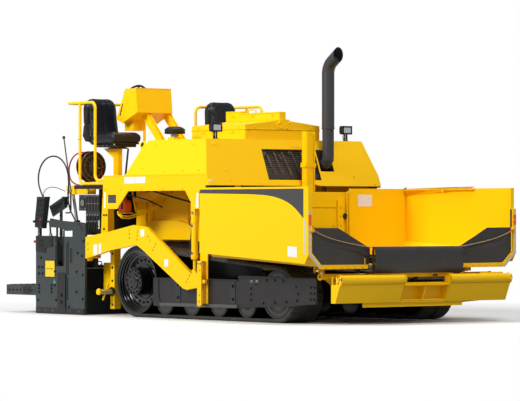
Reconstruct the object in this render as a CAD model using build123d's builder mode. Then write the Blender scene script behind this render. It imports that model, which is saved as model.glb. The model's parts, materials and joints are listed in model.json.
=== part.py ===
"""Rubber-tracked asphalt paver: tractor, hopper, push bar and extending screed.

Frame: millimetres, +X forward, +Y to the machine's left, +Z up, z = 0 on the ground.
The origin is under the middle of the machine's overall length and width.
"""
from build123d import *
from math import cos, pi, radians, sin, tan
import os

os.makedirs("parts", exist_ok=True)

# ---------------------------------------------------------------- driving sizes
front_reach = 4347          # datum plane to the front of the push rollers
rear_reach = 2693           # datum plane to the rear edge of the screed walkway
hopper_width = 3334         # over both wings
hopper_top = 1636           # top edge of the wings
deck_width = 2800           # over the platform skirts
deck_top = 1807
hood_top = 2250
stack_top = 3430            # highest point of the exhaust
track_width_over = 2570     # outside to outside of the belts
belt_width = 456
belt_thick = 47
drive_wheel_r = 408
idler_r = 293
drive_axle = 200            # forward of the datum plane
wheelbase = 2835            # drive axle to front idler
roller_r = 184
roller_count = 4
first_roller = 590          # drive axle to the rearmost bottom roller
last_roller = 589           # foremost bottom roller to the idler
hinge_y = 728               # wing hinges, each side of the centre line
hinge_z = 790
main_screed_width = 2660    # over the fixed part of the screed
extension_travel = 1150
auger_r = 190

# named clearances and walls
moving_gap = 8
seat_gap = 0.3              # between parts that rest on each other
sheet = 8                   # hood and cover sheet
plate = 15                  # folded plate
frame_wall = 25             # chassis side plates
wing_wall = 20
running = 0.05              # between a pin and its bore

# ---------------------------------------------------------------- stations along X
datum_x = (rear_reach - front_reach) / 2
drive_x = datum_x + drive_axle
idler_x = drive_x + wheelbase
roller_pitch = (wheelbase - first_roller - last_roller) / (roller_count - 1)
front_end = datum_x + front_reach
rear_end = datum_x - rear_reach
drive_z = drive_wheel_r + belt_thick
idler_z = idler_r + belt_thick
half_hopper = hopper_width / 2
half_deck = deck_width / 2
belt_out = track_width_over / 2
belt_in = belt_out - belt_width

SIDES = (("right", -1), ("left", 1))


def at(forward):
    """The X value that lies this far forward of the datum plane."""
    return datum_x + forward


def slab(x, y, z, mode=Mode.ADD):
    """A box between two values of each of x, y and z, added to the part being built."""
    low = [min(x), min(y), min(z)]
    size = [max(x) - low[0], max(y) - low[1], max(z) - low[2]]
    with Locations(tuple(a + s / 2 for a, s in zip(low, size))):
        Box(*size, mode=mode)


def side_plate(points, y, mode=Mode.ADD):
    """An outline of (x, z) points, solid between two values of y."""
    with BuildSketch(Plane.XZ.offset(-max(y))) as outline:
        Polygon(*points)
    extrude(outline.sketch, amount=max(y) - min(y), mode=mode)


def cross_plate(points, x, mode=Mode.ADD):
    """An outline of (y, z) points, solid between two values of x."""
    with BuildSketch(Plane.YZ.offset(min(x))) as outline:
        Polygon(*points)
    extrude(outline.sketch, amount=max(x) - min(x), mode=mode)


def rod_y(x, z, radius, y, mode=Mode.ADD):
    """A round bar along Y between two values of y."""
    with Locations(Location((x, (y[0] + y[1]) / 2, z), (90, 0, 0))):
        Cylinder(radius, abs(y[1] - y[0]), mode=mode)


def rod_x(y, z, radius, x, mode=Mode.ADD):
    """A round bar along X between two values of x."""
    with Locations(Location(((x[0] + x[1]) / 2, y, z), (0, 90, 0))):
        Cylinder(radius, abs(x[1] - x[0]), mode=mode)


def rod_z(x, y, radius, z, mode=Mode.ADD):
    """A round upright bar between two values of z."""
    with Locations((x, y, (z[0] + z[1]) / 2)):
        Cylinder(radius, abs(z[1] - z[0]), mode=mode)


def bar(start, end, radius, mode=Mode.ADD):
    """A round bar between two points."""
    a, b = Vector(*start), Vector(*end)
    with BuildSketch(Plane(origin=a, z_dir=b - a)) as section:
        Circle(radius)
    extrude(section.sketch, amount=(b - a).length, mode=mode)


def tube(points, corner, radius):
    """A bent tube through points, each corner with the same bend radius."""
    with BuildLine() as path:
        FilletPolyline(*points, radius=corner)
    with BuildSketch(path.line ^ 0) as section:
        Circle(radius)
    sweep(section.sketch, path=path.line)


def gland(route, radius, depth):
    """The stub that a hose or cable leaves from, reaching depth back along its first run."""
    first, second = Vector(*route[0]), Vector(*route[1])
    back = (first - second).normalized()
    bar(first + back * seat_gap, first + back * depth, radius)


def save(builder, name):
    builder.part.label = name
    export_step(builder.part, f"parts/{name}.step")


# ================================================================ running gear
def belt_outline(clear):
    """The closed loop round the drive wheel and the idler, clear outside the wheels."""
    big, small = drive_wheel_r + clear, idler_r + clear
    with BuildSketch(Plane.XZ) as loop:
        with Locations((drive_x, drive_z)):
            Circle(big)
        with Locations((idler_x, idler_z)):
            Circle(small)
        make_hull()
    return loop.sketch


for side, s in SIDES:
    with BuildPart() as track:
        extrude(belt_outline(belt_thick).moved(Location((0, s * belt_in, 0))),
                amount=-s * belt_width)
        extrude(belt_outline(seat_gap).moved(Location((0, s * belt_in, 0))),
                amount=-s * belt_width, mode=Mode.SUBTRACT)
    save(track, f"track_{side}")

drive_hub_r = 178
hub_proud = 60              # how far the hub stands out of the rim
drive_dish = 110            # how far the wheel's disc lies inside its rim
drive_rim = 22
axle_r = 70
frame_in = 700              # outer face of the chassis side plates
frame_face = belt_out + 5   # inner face of the side frame's outer plate
side_plate_t = 20
wheel_y = (belt_in + 15, belt_out - 8)
with BuildPart() as wheels:
    for s in (-1, 1):
        rod_y(drive_x, drive_z, drive_wheel_r, (s * wheel_y[0], s * wheel_y[1]))
        rod_y(drive_x, drive_z, drive_wheel_r - drive_rim,
              (s * (wheel_y[1] - drive_dish), s * (wheel_y[1] + 1)), Mode.SUBTRACT)
        rod_y(drive_x, drive_z, drive_hub_r,
              (s * (wheel_y[1] - drive_dish), s * (wheel_y[1] + hub_proud)))
        rod_y(drive_x, drive_z, axle_r, (s * (frame_in + seat_gap), s * wheel_y[0]))
        rod_y(idler_x, idler_z, idler_r, (s * wheel_y[0], s * wheel_y[1]))
        rod_y(idler_x, idler_z, axle_r / 2,
              (s * (frame_in + seat_gap), s * (frame_face - seat_gap)))
        for i in range(roller_count):
            roller_x = drive_x + first_roller + i * roller_pitch
            rod_y(roller_x, belt_thick + roller_r + seat_gap, roller_r,
                  (s * wheel_y[0], s * wheel_y[1]))
            rod_y(roller_x, belt_thick + roller_r + seat_gap, axle_r / 2,
                  (s * (frame_in + seat_gap), s * (frame_face - seat_gap)))
save(wheels, "running_wheels")

# The outer side frame hides the rollers' upper halves; (forward of the datum, height).
SIDE_FRAME = ((593, 154), (2316, 162), (2316, 168), (3313, 205), (3808, 246),
              (3808, 550), (2316, 563), (2316, 513), (593, 513))
cross_beam = (1400, 1700)   # through the belt loop, above the rollers
with BuildPart() as side_frame:
    for s in (-1, 1):
        side_plate([(at(x), z) for x, z in SIDE_FRAME],
                   (s * frame_face, s * (frame_face + side_plate_t)))
        slab([at(x) for x in cross_beam], (s * frame_in, s * frame_face), (435, 515))
save(side_frame, "track_frames")


# ================================================================ chassis
hopper_rear = 2030          # rear faces of the wings' end walls, forward of the datum
hopper_length = 1985
floor_top = 700             # conveyor floor
tunnel_top = 1080
bulkhead_t = 25
chassis_rear = -420
chassis_front = 3890
bulkhead_x = hopper_rear - 40
platform_z = 1640
inner = frame_in - frame_wall
panel_t = 20
# Chassis side, (forward of the datum, height): deep under the deck, low under the hopper.
CHASSIS = ((chassis_rear, 300), (1500, 250), (chassis_front, 250), (chassis_front, 560),
           (bulkhead_x, 690), (bulkhead_x, 1600), (chassis_rear, 1600))
panel_low = 963             # lower edge of the painted side panels

# The painted upper body: side panels, the wall behind the hopper and the upright over the
# hopper's flow gates, which is clamped together in two lengths.
gate_post_y, gate_post_top = 126, 2354
POST_LENGTHS = ((-150, -bulkhead_t, 60, 1450, deck_top - 215),      # rear, front, half width, low, high
                (-110, -30, 70, deck_top - 215, gate_post_top),
                (-120, -20, 85, 1900, 1960))
with BuildPart() as body_panels:
    for s in (-1, 1):
        slab((at(chassis_rear + 52), at(bulkhead_x - 5)),
             (s * (frame_in + seat_gap), s * (frame_in + panel_t)), (panel_low, 1600))
    wall = inner - seat_gap
    slab((at(bulkhead_x), at(bulkhead_x - bulkhead_t)), (-wall, wall), (tunnel_top, deck_top - 215))
    slab((at(bulkhead_x), at(bulkhead_x - bulkhead_t)), (-20, 20),
         (floor_top - 90 + seat_gap, tunnel_top))
    for rear, front, half, low, high in POST_LENGTHS:
        slab((at(bulkhead_x + rear), at(bulkhead_x + front)),
             (gate_post_y - half, gate_post_y + half), (low, high))
save(body_panels, "body_panels")

with BuildPart() as conveyor_floor:
    for s in (-1, 1):
        slab((at(chassis_rear - 60), at(hopper_rear + hopper_length + 60)),
             (s * (20 + seat_gap), s * (inner - seat_gap)), (floor_top - 80, floor_top - 60))
save(conveyor_floor, "conveyor_floor")

# Each conveyor's chains turn back round a roller at both ends of its floor.
end_roller_r = 50
cross_bracket_y = 640       # the brackets that carry the front rollers and the cross tube
with BuildPart() as conveyor_rollers:
    for s in (-1, 1):
        for end, carrier in ((chassis_rear, inner),
                             (hopper_rear + hopper_length + 15, cross_bracket_y)):
            centre_z = floor_top - 80 - seat_gap - end_roller_r
            rod_y(at(end), centre_z, end_roller_r, (s * 60, s * (cross_bracket_y - 5)))
            rod_y(at(end), centre_z, end_roller_r / 2, (s * 60, s * (carrier - seat_gap)))
save(conveyor_rollers, "conveyor_rollers")

# ================================================================ deck and hood
reel_y, reel_z, reel_r = -1135, 1935, 200
# The wash-down hose hangs in a loop behind its reel, (forward of the datum, height).
hose_high, hose_low, hose_stub, hose_r = reel_z + 183, 1668, 30, 10
deck_rear, deck_front = -380, 1775
platform_rear, platform_half = -1110, main_screed_width / 2 + 10 - moving_gap
HOSE = [(at(x), reel_y, z) for x, z in (
    (platform_rear + 10, hose_high), (-1212, 2126), (-1332, 2110), (-1434, 2060), (-1507, 1962),
    (-1518, 1850), (-1470, 1752), (-1368, 1705), (-1254, 1693),
    (platform_rear - hose_stub, hose_low))]
lift_y, bracket_gap = 1050, 48      # lift cylinders' centre, and to each side of it the brackets
rod_eye = (-1548, 1620)             # upper pivot of the lift cylinders
skirt_z = 1606
DECK_FEET, deck_foot_z = (50, 1500), 1600 + seat_gap    # it stands on the chassis sides
with BuildPart() as deck:
    slab((at(deck_rear), at(deck_front)), (-half_deck, half_deck), (deck_top - plate, deck_top))
    slab((at(480), at(1470)), (-620, 620), (deck_top - plate, deck_top), Mode.SUBTRACT)
    for s in (-1, 1):
        slab((at(deck_rear), at(deck_front)), (s * half_deck, s * (half_deck - plate)),
             (skirt_z, deck_top))
        for rear, front, low_rear, low_front in ((-379, 164, -379, -74), (1361, 1646, 1545, 1646)):
            side_plate([(at(rear), skirt_z), (at(front), skirt_z), (at(low_front), 1379),
                        (at(low_rear), 1379)], (s * half_deck, s * (half_deck - plate)))
    slab((at(deck_rear), at(deck_rear) + plate), (-half_deck, half_deck), (skirt_z, deck_top))
    for s in (-1, 1):
        for x in DECK_FEET:
            slab((at(x), at(x) + 100), (s * frame_in, s * (frame_in + panel_t)),
                 (deck_foot_z, deck_top))
    slab((at(platform_rear), at(deck_rear)), (-platform_half, platform_half),
         (platform_z, platform_z + 50))
    gland(HOSE[::-1], hose_r + 6, hose_stub + 10)
save(deck, "deck")

# A pair of plates carries each lift cylinder's rod eye behind the platform.
with BuildPart() as lift_brackets:
    for s in (-1, 1):
        for y, out in ((lift_y - bracket_gap, -1), (lift_y + bracket_gap, 1)):
            slab((at(platform_rear) - seat_gap, at(rod_eye[0] - 52)), (s * y, s * (y + out * plate)),
                 (platform_z - 66, platform_z + 50))
            rod_y(at(rod_eye[0]), rod_eye[1], 25, (s * (y + out * (plate - 1)),
                                                   s * (y + out * (plate + 12))))
save(lift_brackets, "lift_brackets")

hood_bottom = deck_top
nose_low, nose_x = 1669, 1853       # lower front edge, in front of the deck
hood_rear_bottom, hood_kink, hood_rear_top = 100, 340, 440
hood_front_top = 1617
hood_half_bottom, hood_half_top = 1400, 1268
hood_kink_z = 2180
HOOD_SIDE = ((hood_rear_bottom, nose_low), (hood_rear_bottom, hood_bottom),
             (hood_kink, hood_kink_z), (hood_rear_top, hood_top), (hood_front_top, hood_top),
             (nose_x, nose_low))
front_lean = (nose_x - hood_front_top) / (hood_top - nose_low)
side_lean = (hood_half_bottom - hood_half_top) / (hood_top - hood_bottom)


def hood_face(z):
    """X of the hood's leaning front face at a height."""
    return at(nose_x) - (z - nose_low) * front_lean


def hood_solid(inset):
    """The hood's outline with its walls moved in by inset and its bottom left open."""
    with BuildPart() as body:
        with BuildSketch(Plane.XZ.offset(inset - hood_half_bottom)) as outline:
            Polygon(*[(at(x), z) for x, z in HOOD_SIDE])
            if inset:
                offset(amount=-inset, kind=Kind.INTERSECTION)
                with Locations((at((hood_rear_bottom + nose_x) / 2), nose_low)):
                    Rectangle(nose_x - hood_rear_bottom - 3 * inset, 4 * inset)
        extrude(outline.sketch, amount=2 * (hood_half_bottom - inset))
        for s in (-1, 1):
            low = s * (hood_half_bottom - inset)
            rise = 900
            with BuildSketch(Plane.YZ.offset(at(-500))) as off_cut:
                Polygon((low, hood_bottom), (low + s * 900, hood_bottom),
                        (low + s * 900, hood_bottom + rise),
                        (low - s * side_lean * rise, hood_bottom + rise))
            extrude(off_cut.sketch, amount=4000, mode=Mode.SUBTRACT)
    return body.part


lid_rear, lid_front, lid_half = 464, 1562, 606
lid_seam, lid_edge, lid_ridge = 2375, 2436, 2506
cover_axis_y, cover_knuckle_r, cover_pin_r = lid_half + 18, 12, 5
COVER_HINGES = (640, 1386)  # middles of the lid's two hinges, forward of the datum
grille_half, grille_low, grille_high = 430, 1742, 2130
recess_y, recess_z = (452, 677), (1854, 2130)
hood_shell = hood_solid(0) - hood_solid(sheet)
with BuildPart() as hood:
    add(hood_shell)
    slab((at(0), at(deck_front) + seat_gap), (-half_deck - 1, half_deck + 1),
         (nose_low - 50, deck_top), Mode.SUBTRACT)
    slab((at(lid_rear + 40), at(lid_front - 40)), (-lid_half + 40, lid_half - 40),
         (hood_top - 60, hood_top + 60), Mode.SUBTRACT)
    with BuildSketch(Plane.XY.offset(hood_top)) as coaming:
        with Locations((at((lid_rear + lid_front) / 2), 0)):
            Rectangle(lid_front - lid_rear, 2 * lid_half)
            Rectangle(lid_front - lid_rear - 2 * sheet, 2 * (lid_half - sheet),
                      mode=Mode.SUBTRACT)
    extrude(coaming.sketch, amount=lid_seam - hood_top)
    with BuildSketch(Plane.XY.offset(hood_top - sheet)) as flange:
        with Locations((at((lid_rear + lid_front) / 2), 0)):
            Rectangle(lid_front - lid_rear, 2 * lid_half)
            Rectangle(lid_front - lid_rear - 80, 2 * lid_half - 80, mode=Mode.SUBTRACT)
    extrude(flange.sketch, amount=sheet)
    slab((at(1400), at(2000)), (-grille_half, grille_half), (grille_low, grille_high),
         Mode.SUBTRACT)
    slab((at(1400), at(2000)), recess_y, recess_z, Mode.SUBTRACT)
    for middle in COVER_HINGES:
        for end in (-70, 42):
            low = at(middle + end)
            rod_x(cover_axis_y, lid_seam, cover_knuckle_r, (low, low + 28))
            slab((low, low + 28), (lid_half - 4, cover_axis_y),
                 (lid_seam - cover_knuckle_r, lid_seam - 2))
        rod_x(cover_axis_y, lid_seam, cover_pin_r, (at(middle - 70), at(middle + 70)))
save(hood, "hood")

# A slatted panel in the opening, and the dark tray that the exhaust leaves through.
recess_back = 1590
pan_t = 4
recess_pan = hood_solid(sheet + seat_gap) & (
    Pos(at((recess_back + 2000) / 2), sum(recess_y) / 2, sum(recess_z) / 2)
    * (Box(2000 - recess_back, recess_y[1] - recess_y[0] + 2 * pan_t,
           recess_z[1] - recess_z[0] + 2 * pan_t)
       - Pos(pan_t, 0, 0) * Box(2000 - recess_back, recess_y[1] - recess_y[0],
                                recess_z[1] - recess_z[0])))
with BuildPart() as grille:
    low, high = grille_low + seat_gap, grille_high - seat_gap
    side_plate([(hood_face(low) - 14, low), (hood_face(low) - 2, low), (hood_face(high) - 2, high),
                (hood_face(high) - 14, high)], (-grille_half + seat_gap, grille_half - seat_gap))
    add(recess_pan)
save(grille, "grille")

with BuildPart() as engine_cover:
    with BuildSketch(Plane.YZ.offset(at(lid_rear))) as gable:
        Polygon((-lid_half, lid_seam + seat_gap), (lid_half, lid_seam + seat_gap),
                (lid_half, lid_edge), (0, lid_ridge), (-lid_half, lid_edge))
    extrude(gable.sketch, amount=lid_front - lid_rear)
    with BuildSketch(Plane.YZ.offset(at(lid_rear + sheet))) as inside:
        Polygon((-lid_half + sheet, lid_seam - 1), (lid_half - sheet, lid_seam - 1),
                (lid_half - sheet, lid_edge - sheet), (0, lid_ridge - sheet),
                (-lid_half + sheet, lid_edge - sheet))
    extrude(inside.sketch, amount=lid_front - lid_rear - 2 * sheet, mode=Mode.SUBTRACT)
    slab((at(lid_rear), at(lid_front)), (-50, 50), (lid_ridge - 4, 2605))
    slab((at(lid_rear), at(lid_rear + 308)), (-50, 50), (2604, 2630))
    for middle in COVER_HINGES:
        low, high = at(middle - 40), at(middle + 40)
        rod_x(cover_axis_y, lid_seam, cover_knuckle_r, (low, high))
        slab((low, high), (lid_half - 4, cover_axis_y),
             (lid_seam + seat_gap, lid_seam + cover_knuckle_r))
        rod_x(cover_axis_y, lid_seam, cover_pin_r + running, (low - 1, high + 1), Mode.SUBTRACT)
save(engine_cover, "engine_cover")

with BuildPart() as engine_block:
    slab((at(500), at(1450)), (-330, 330), (1000, 2150))
    slab((at(500), at(1450)), (-600, 600), (1000, 1040))
    slab((at(500), at(560)), (-(inner), inner), (980, 1040))
    slab((at(1390), at(1450)), (-(inner), inner), (980, 1040))
save(engine_block, "engine_block")

# The stack: an elbow out of its tray, a sleeve, and a slanted outlet cut off upright.
stack_r, stack_x, stack_y = 80, 1785, 565
elbow, bend, stack_wall, sleeve_low = 120, 180, 5, 2397
outlet_reach, outlet_tilt = 200, 35     # ahead of the stack's axis, degrees above level
rise, run = sin(radians(outlet_tilt)), cos(radians(outlet_tilt))
corner_z = stack_top - stack_r / run - outlet_reach * rise / run
tray_x = at(recess_back) + pan_t + seat_gap
stack_z = 1936
with BuildPart() as exhaust_stack:
    tube([(tray_x, stack_y, stack_z), (at(stack_x), stack_y, stack_z),
          (at(stack_x), stack_y, sleeve_low + 60)], elbow, stack_r - stack_wall)
    tube([(at(stack_x), stack_y, sleeve_low), (at(stack_x), stack_y, corner_z),
          (at(stack_x) + 330 * run, stack_y, corner_z + 330 * rise)], bend, stack_r)
    bar((at(stack_x) + 140 * run, stack_y, corner_z + 140 * rise),
        (at(stack_x) + 340 * run, stack_y, corner_z + 340 * rise), stack_r - stack_wall,
        Mode.SUBTRACT)
    slab((at(stack_x + outlet_reach), at(stack_x + 500)), (stack_y - 100, stack_y + 100),
         (corner_z - 100, corner_z + 500), Mode.SUBTRACT)
save(exhaust_stack, "exhaust_stack")

lamp_y = 1060
with BuildPart() as work_lights:
    for s in (-1, 1):
        slab((at(1490), at(1590)), (s * (lamp_y - 95), s * (lamp_y + 95)), (2335, 2450))
        slab((at(1530), at(1560)), (s * (lamp_y - 30), s * (lamp_y + 30)), (hood_top, 2335))
save(work_lights, "work_lights")

with BuildPart() as intake_cap:
    slab((at(480), at(630)), (-1020, -880), (hood_top, 2292))
    rod_z(at(557), -950, 45, (2292, 2330))
    rod_z(at(557), -950, 132, (2330, 2430))
save(intake_cap, "intake_cap")


# ================================================================ hopper wings
wing_rear, wing_front, lip_front = 2004, 4019, 4087
rope_x = lip_front + 17     # the plane in which the curtain's ropes hang
web_y = hinge_y + 42
floor_rear_z, floor_front_z = 790, 690
pin_r, knuckle_r = 14, 25
KNUCKLES = (2260, 2700, 3350, 3700)
BRACKETS = (2110, 3050, 3850)
turn_y = half_hopper - 187  # where a wing's floor turns up towards its side
# Wing section at its rear end, (y, height over the floor's underside).
WING_SECTION = ((web_y, 0), (turn_y, 0), (turn_y + 170, 165), (turn_y + 170, 176),
                (turn_y + 152, 176), (turn_y - 8, 20), (web_y, 20))
cyl_x = 3700
cyl_low, cyl_high = (740, 340), (1180, 640)     # (y, z) of the wing cylinder's two ends
eye_y, eye_z, eye_r = half_hopper - 50, 1122, 11    # eye bolts that hold the curtain's ropes
WING_SIDES = (("right", -1, lip_front), ("left", 1, 3357))      # the top flange's front end
far_step, far_step_z = 38, 1380         # the left wing's front edge steps back above here
for side, s, flange_front in WING_SIDES:
    with BuildPart() as wing:
        with BuildSketch(Plane.YZ.offset(at(hopper_rear))) as rear_section:
            Polygon(*[(s * y, floor_rear_z + z) for y, z in WING_SECTION])
        with BuildSketch(Plane.YZ.offset(at(lip_front - 22))) as front_section:
            Polygon(*[(s * y, floor_front_z + z) for y, z in WING_SECTION])
        loft([rear_section.sketch, front_section.sketch], ruled=True)
        side_plate([(at(x), z) for x, z in ((wing_rear, 837), (wing_front, 728),
                    (lip_front, 835), (lip_front, hopper_top), (wing_rear, hopper_top))],
                   (s * (half_hopper - wing_wall), s * half_hopper))
        side_plate([(at(x), z) for x, z in ((hopper_rear, 780), (lip_front - 22, 692),
                    (lip_front - 22, 790), (hopper_rear, 812))], (s * web_y, s * (web_y + 12)))
        cross_plate([(s * y, z) for y, z in ((700, hopper_top), (half_hopper - 7, hopper_top),
                     (half_hopper - 7, 970), (turn_y, 795), (web_y, 795), (web_y, 830),
                     (700, 870))],
                    (at(hopper_rear), at(hopper_rear) + 20))
        cross_plate([(s * y, z) for y, z in ((746, 664), (turn_y, 664), (half_hopper, 835),
                     (half_hopper, hopper_top), (half_hopper - 55, hopper_top),
                     (half_hopper - 55, 860), (turn_y - 18, 709), (746, 709))],
                    (at(lip_front) - 20, at(lip_front)))
        slab((at(wing_rear), at(flange_front)), (s * (half_hopper - 60), s * half_hopper),
             (hopper_top - 20, hopper_top))
        if side == "left":
            slab((at(lip_front - far_step), at(lip_front) + 1), (s * (turn_y + 20), s * half_hopper),
                 (far_step_z, hopper_top), Mode.SUBTRACT)
            slab((at(lip_front - far_step - 20), at(lip_front - far_step)),
                 (s * (half_hopper - 55), s * half_hopper), (far_step_z - 5, hopper_top))
        rod_x(s * eye_y, eye_z, eye_r, (at(lip_front) - 1, at(rope_x) + 8))
        for x in KNUCKLES:
            rod_x(s * hinge_y, hinge_z, knuckle_r, (at(x) - 60, at(x) + 60))
            slab((at(x) - 60, at(x) + 60), (s * hinge_y, s * (web_y + 5)),
                 (hinge_z - 18, hinge_z + 18))
            rod_x(s * hinge_y, hinge_z, pin_r + running, (at(x) - 61, at(x) + 61), Mode.SUBTRACT)
        for x in (-45, 30):
            slab((at(cyl_x) + x, at(cyl_x) + x + 15), (s * (cyl_high[0] - 45),
                 s * (cyl_high[0] + 45)), (cyl_high[1] - 25, 725))
    save(wing, f"hopper_wing_{side}")

    with BuildPart() as apron:
        cross_plate([(s * y, z) for y, z in ((web_y + 14, 714), (turn_y - 18, 716),
                     (half_hopper - 60, 852), (half_hopper - 60, 1150), (1197, 1148),
                     (web_y + 14, 945))],
                    (at(lip_front) - 33, at(lip_front) - 20 - seat_gap))
    save(apron, f"side_apron_{side}")

    start, end = Vector(at(cyl_x), s * cyl_low[0], cyl_low[1]), \
        Vector(at(cyl_x), s * cyl_high[0], cyl_high[1])
    along = (end - start).normalized()
    with BuildPart() as barrel:
        rod_x(start.Y, start.Z, 40, (at(cyl_x) - 25, at(cyl_x) + 25))
        bar(start, start + along * 400, 42)
        rod_x(start.Y, start.Z, 18 + running, (at(cyl_x) - 60, at(cyl_x) + 60), Mode.SUBTRACT)
        bar(start + along * 60, start + along * 401, 20 + seat_gap, Mode.SUBTRACT)
    save(barrel, f"wing_cylinder_{side}")
    with BuildPart() as cylinder_rod:
        bar(start + along * 70, end - along * 15, 20)
        rod_x(end.Y, end.Z, 32, (at(cyl_x) - 24, at(cyl_x) + 24))
    save(cylinder_rod, f"wing_rod_{side}")

# The chassis, with the wings' hinge pins and the feet of the wing cylinders on its sides.
pivot_x, pivot_r = 4080, 25     # the push bar's pivot
with BuildPart() as main_frame:
    for s in (-1, 1):
        side_plate([(at(x), z) for x, z in CHASSIS], (s * frame_in, s * inner))
    slab((at(chassis_rear), at(chassis_front)), (-20, 20), (300, floor_top - 90))
    slab((at(bulkhead_x), at(bulkhead_x - bulkhead_t)), (-inner, inner), (300, floor_top - 90))
    slab((at(chassis_rear), at(chassis_rear) + frame_wall), (-inner, inner), (1150, 1600))
    slab((at(chassis_front), at(chassis_front) - frame_wall), (-inner, inner), (260, 560))
    slab((at(900), at(925)), (-inner, inner), (300, 560))
    for s in (-1, 1):
        rod_x(s * hinge_y, hinge_z, pin_r, (at(BRACKETS[0]) - 30, at(BRACKETS[-1]) + 30))
        for x in BRACKETS:
            slab((at(x) - 30, at(x) + 30), (s * (frame_in - 5), s * (hinge_y + 4)),
                 (540, hinge_z))
            rod_x(s * hinge_y, hinge_z, knuckle_r, (at(x) - 30, at(x) + 30))
        for x in (-66, 46):
            slab((at(cyl_x) + x, at(cyl_x) + x + 20), (s * (frame_in - 5), s * 785), (300, 380))
        rod_x(s * cyl_low[0], cyl_low[1], 18, (at(cyl_x) - 66, at(cyl_x) + 66))
save(main_frame, "main_frame")

with BuildPart() as front_cross:
    rod_y(at(3937), 571, 35, (-1370, 1370))
    for s in (-1, 1):
        slab((at(chassis_front) + seat_gap, at(4098) - seat_gap),
             (s * cross_bracket_y, s * (cross_bracket_y + 20)), (500, 600))
    slab((at(4084), at(4098) - seat_gap), (-cross_bracket_y - 20, cross_bracket_y + 20),
         (560, 625))
    rod_y(at(3937), 571, 26, (-1371, 1371), Mode.SUBTRACT)
    for z in (270, 445):
        slab((at(chassis_front) + seat_gap, at(pivot_x) + 50), (-60, 60), (z, z + 25))
    rod_z(at(pivot_x), 0, pivot_r, (270, 470))
save(front_cross, "front_cross_tube")

curtain_half = 700
with BuildPart() as curtain:
    side_plate([(at(x), z) for x, z in ((4098, 605), (4150, 612), (4180, 680), (4186, 760),
                (4178, 850), (4140, 915), (4098, 928))], (-curtain_half, curtain_half))
save(curtain, "centre_curtain")

# ================================================================ push bar
bar_half, roller_x, roller_z, push_r = 1363, 4286, 538, 55
roller_in, roller_out = 370, 1350
with BuildPart() as push_bar:
    slab((at(4140), at(4160)), (-bar_half, bar_half), (262, 480))
    slab((at(4140), at(4298)), (-bar_half, bar_half), (464, 480))
    slab((at(4140), at(4215)), (-roller_in, roller_in), (262, 275))
    slab((at(4174), at(4190)), (-911, 670), (208, 270))
    side_plate([(at(4158), 470), (at(4158), 262), (at(4210), 262), (at(4290), 470)], (-11, 11))
    rod_z(at(pivot_x), 0, 50, (297, 443))
    slab((at(pivot_x), at(4142)), (-45, 45), (297, 443))
    rod_z(at(pivot_x), 0, pivot_r + running, (290, 450), Mode.SUBTRACT)
    for s in (-1, 1):
        side_plate([(at(x), z) for x, z in ((4298, 480), (4298, 462), (4215, 262), (4200, 262),
                    (4278, 464))], (s * roller_in, s * bar_half))
        for y in (roller_in - 15, 700, 1030, bar_half - 15):
            side_plate([(at(4158), 470), (at(4158), 262), (at(4210), 262), (at(4290), 470)],
                       (s * y, s * (y + 15)))
        for y in (roller_in - 15, bar_half - 13):
            slab((at(roller_x) - 58, at(roller_x) + 40), (s * y, s * (y + 13)), (475, 578))
            rod_y(at(roller_x), roller_z, 20 + running, (s * (y - 1), s * (y + 14)),
                  Mode.SUBTRACT)
save(push_bar, "push_bar")
for side, s in SIDES:
    with BuildPart() as push_roller:
        rod_y(at(roller_x), roller_z, push_r, (s * (roller_in + 3), s * (bar_half - 18)))
        rod_y(at(roller_x), roller_z, 20, (s * (roller_in - 15), s * bar_half))
    save(push_roller, f"push_roller_{side}")

# ================================================================ tow points and arms
arm_y = (1330, 1378)
pin_x, pin_z, tow_pin_r = 1615, 476, 30
guide_face = frame_face + side_plate_t
guide_t, guide_gap = 12, 8          # each guide plate, and between it and the arm
guide_in, guide_out = (1575, 1716), (1603, 1690)    # inner and outer plates, from rear to front
guide_low, guide_high, guide_top = 164, 734, 900    # and the inner plate's top
tow_cyl_x, tow_cyl_y = 1500, (arm_y[0] + arm_y[1]) / 2
rod_r, barrel_r = 20, 42
tow_barrel = (750, 1290)
with BuildPart() as tow_guides:
    for s in (-1, 1):
        slab([at(x) for x in guide_in], (s * guide_face, s * (arm_y[0] - guide_gap)),
             (guide_low, guide_top))
        slab([at(x) for x in guide_out], (s * (arm_y[1] + guide_gap),
                                          s * (arm_y[1] + guide_gap + guide_t)),
             (guide_low, guide_high))
        for z in (guide_low, guide_high - guide_t):
            slab([at(x) for x in guide_out], (s * (arm_y[0] - guide_gap + seat_gap),
                                              s * (arm_y[1] + guide_gap - seat_gap)), (z, z + guide_t))
        rod_z(at(tow_cyl_x), s * tow_cyl_y, barrel_r, tow_barrel)
        rod_z(at(tow_cyl_x), s * tow_cyl_y, rod_r + seat_gap,
              (tow_barrel[0] - 1, tow_barrel[1] - 90), Mode.SUBTRACT)
        slab((at(tow_cyl_x) - 30, at(tow_cyl_x) + 30), (s * (tow_cyl_y - 30), s * (half_deck - plate)),
             (tow_barrel[1] - 5, 1500))
save(tow_guides, "tow_guides")

# The link beside the arm's tip, (forward of the datum, height), from the rod to the pin.
TOW_LINK = ((1475, 625), (1525, 625), (1650, 516), (1650, 440), (1580, 440), (1475, 570))
link_t, link_gap = 4, 1.5
rod_block = (590, 625)      # joins the links under the cylinder's rod
with BuildPart() as tow_points:
    for s in (-1, 1):
        for y in (arm_y[0] - link_gap - link_t, arm_y[1] + link_gap):
            side_plate([(at(x), z) for x, z in TOW_LINK], (s * y, s * (y + link_t)))
        across = (s * (arm_y[0] - link_gap - link_t), s * (arm_y[1] + link_gap + link_t))
        slab((at(tow_cyl_x - 25), at(tow_cyl_x + 25)), across, rod_block)
        rod_z(at(tow_cyl_x), s * tow_cyl_y, rod_r, (rod_block[0] + 10, tow_barrel[0] + 250))
        rod_y(at(pin_x), pin_z, tow_pin_r, across)
save(tow_points, "tow_points")

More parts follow.
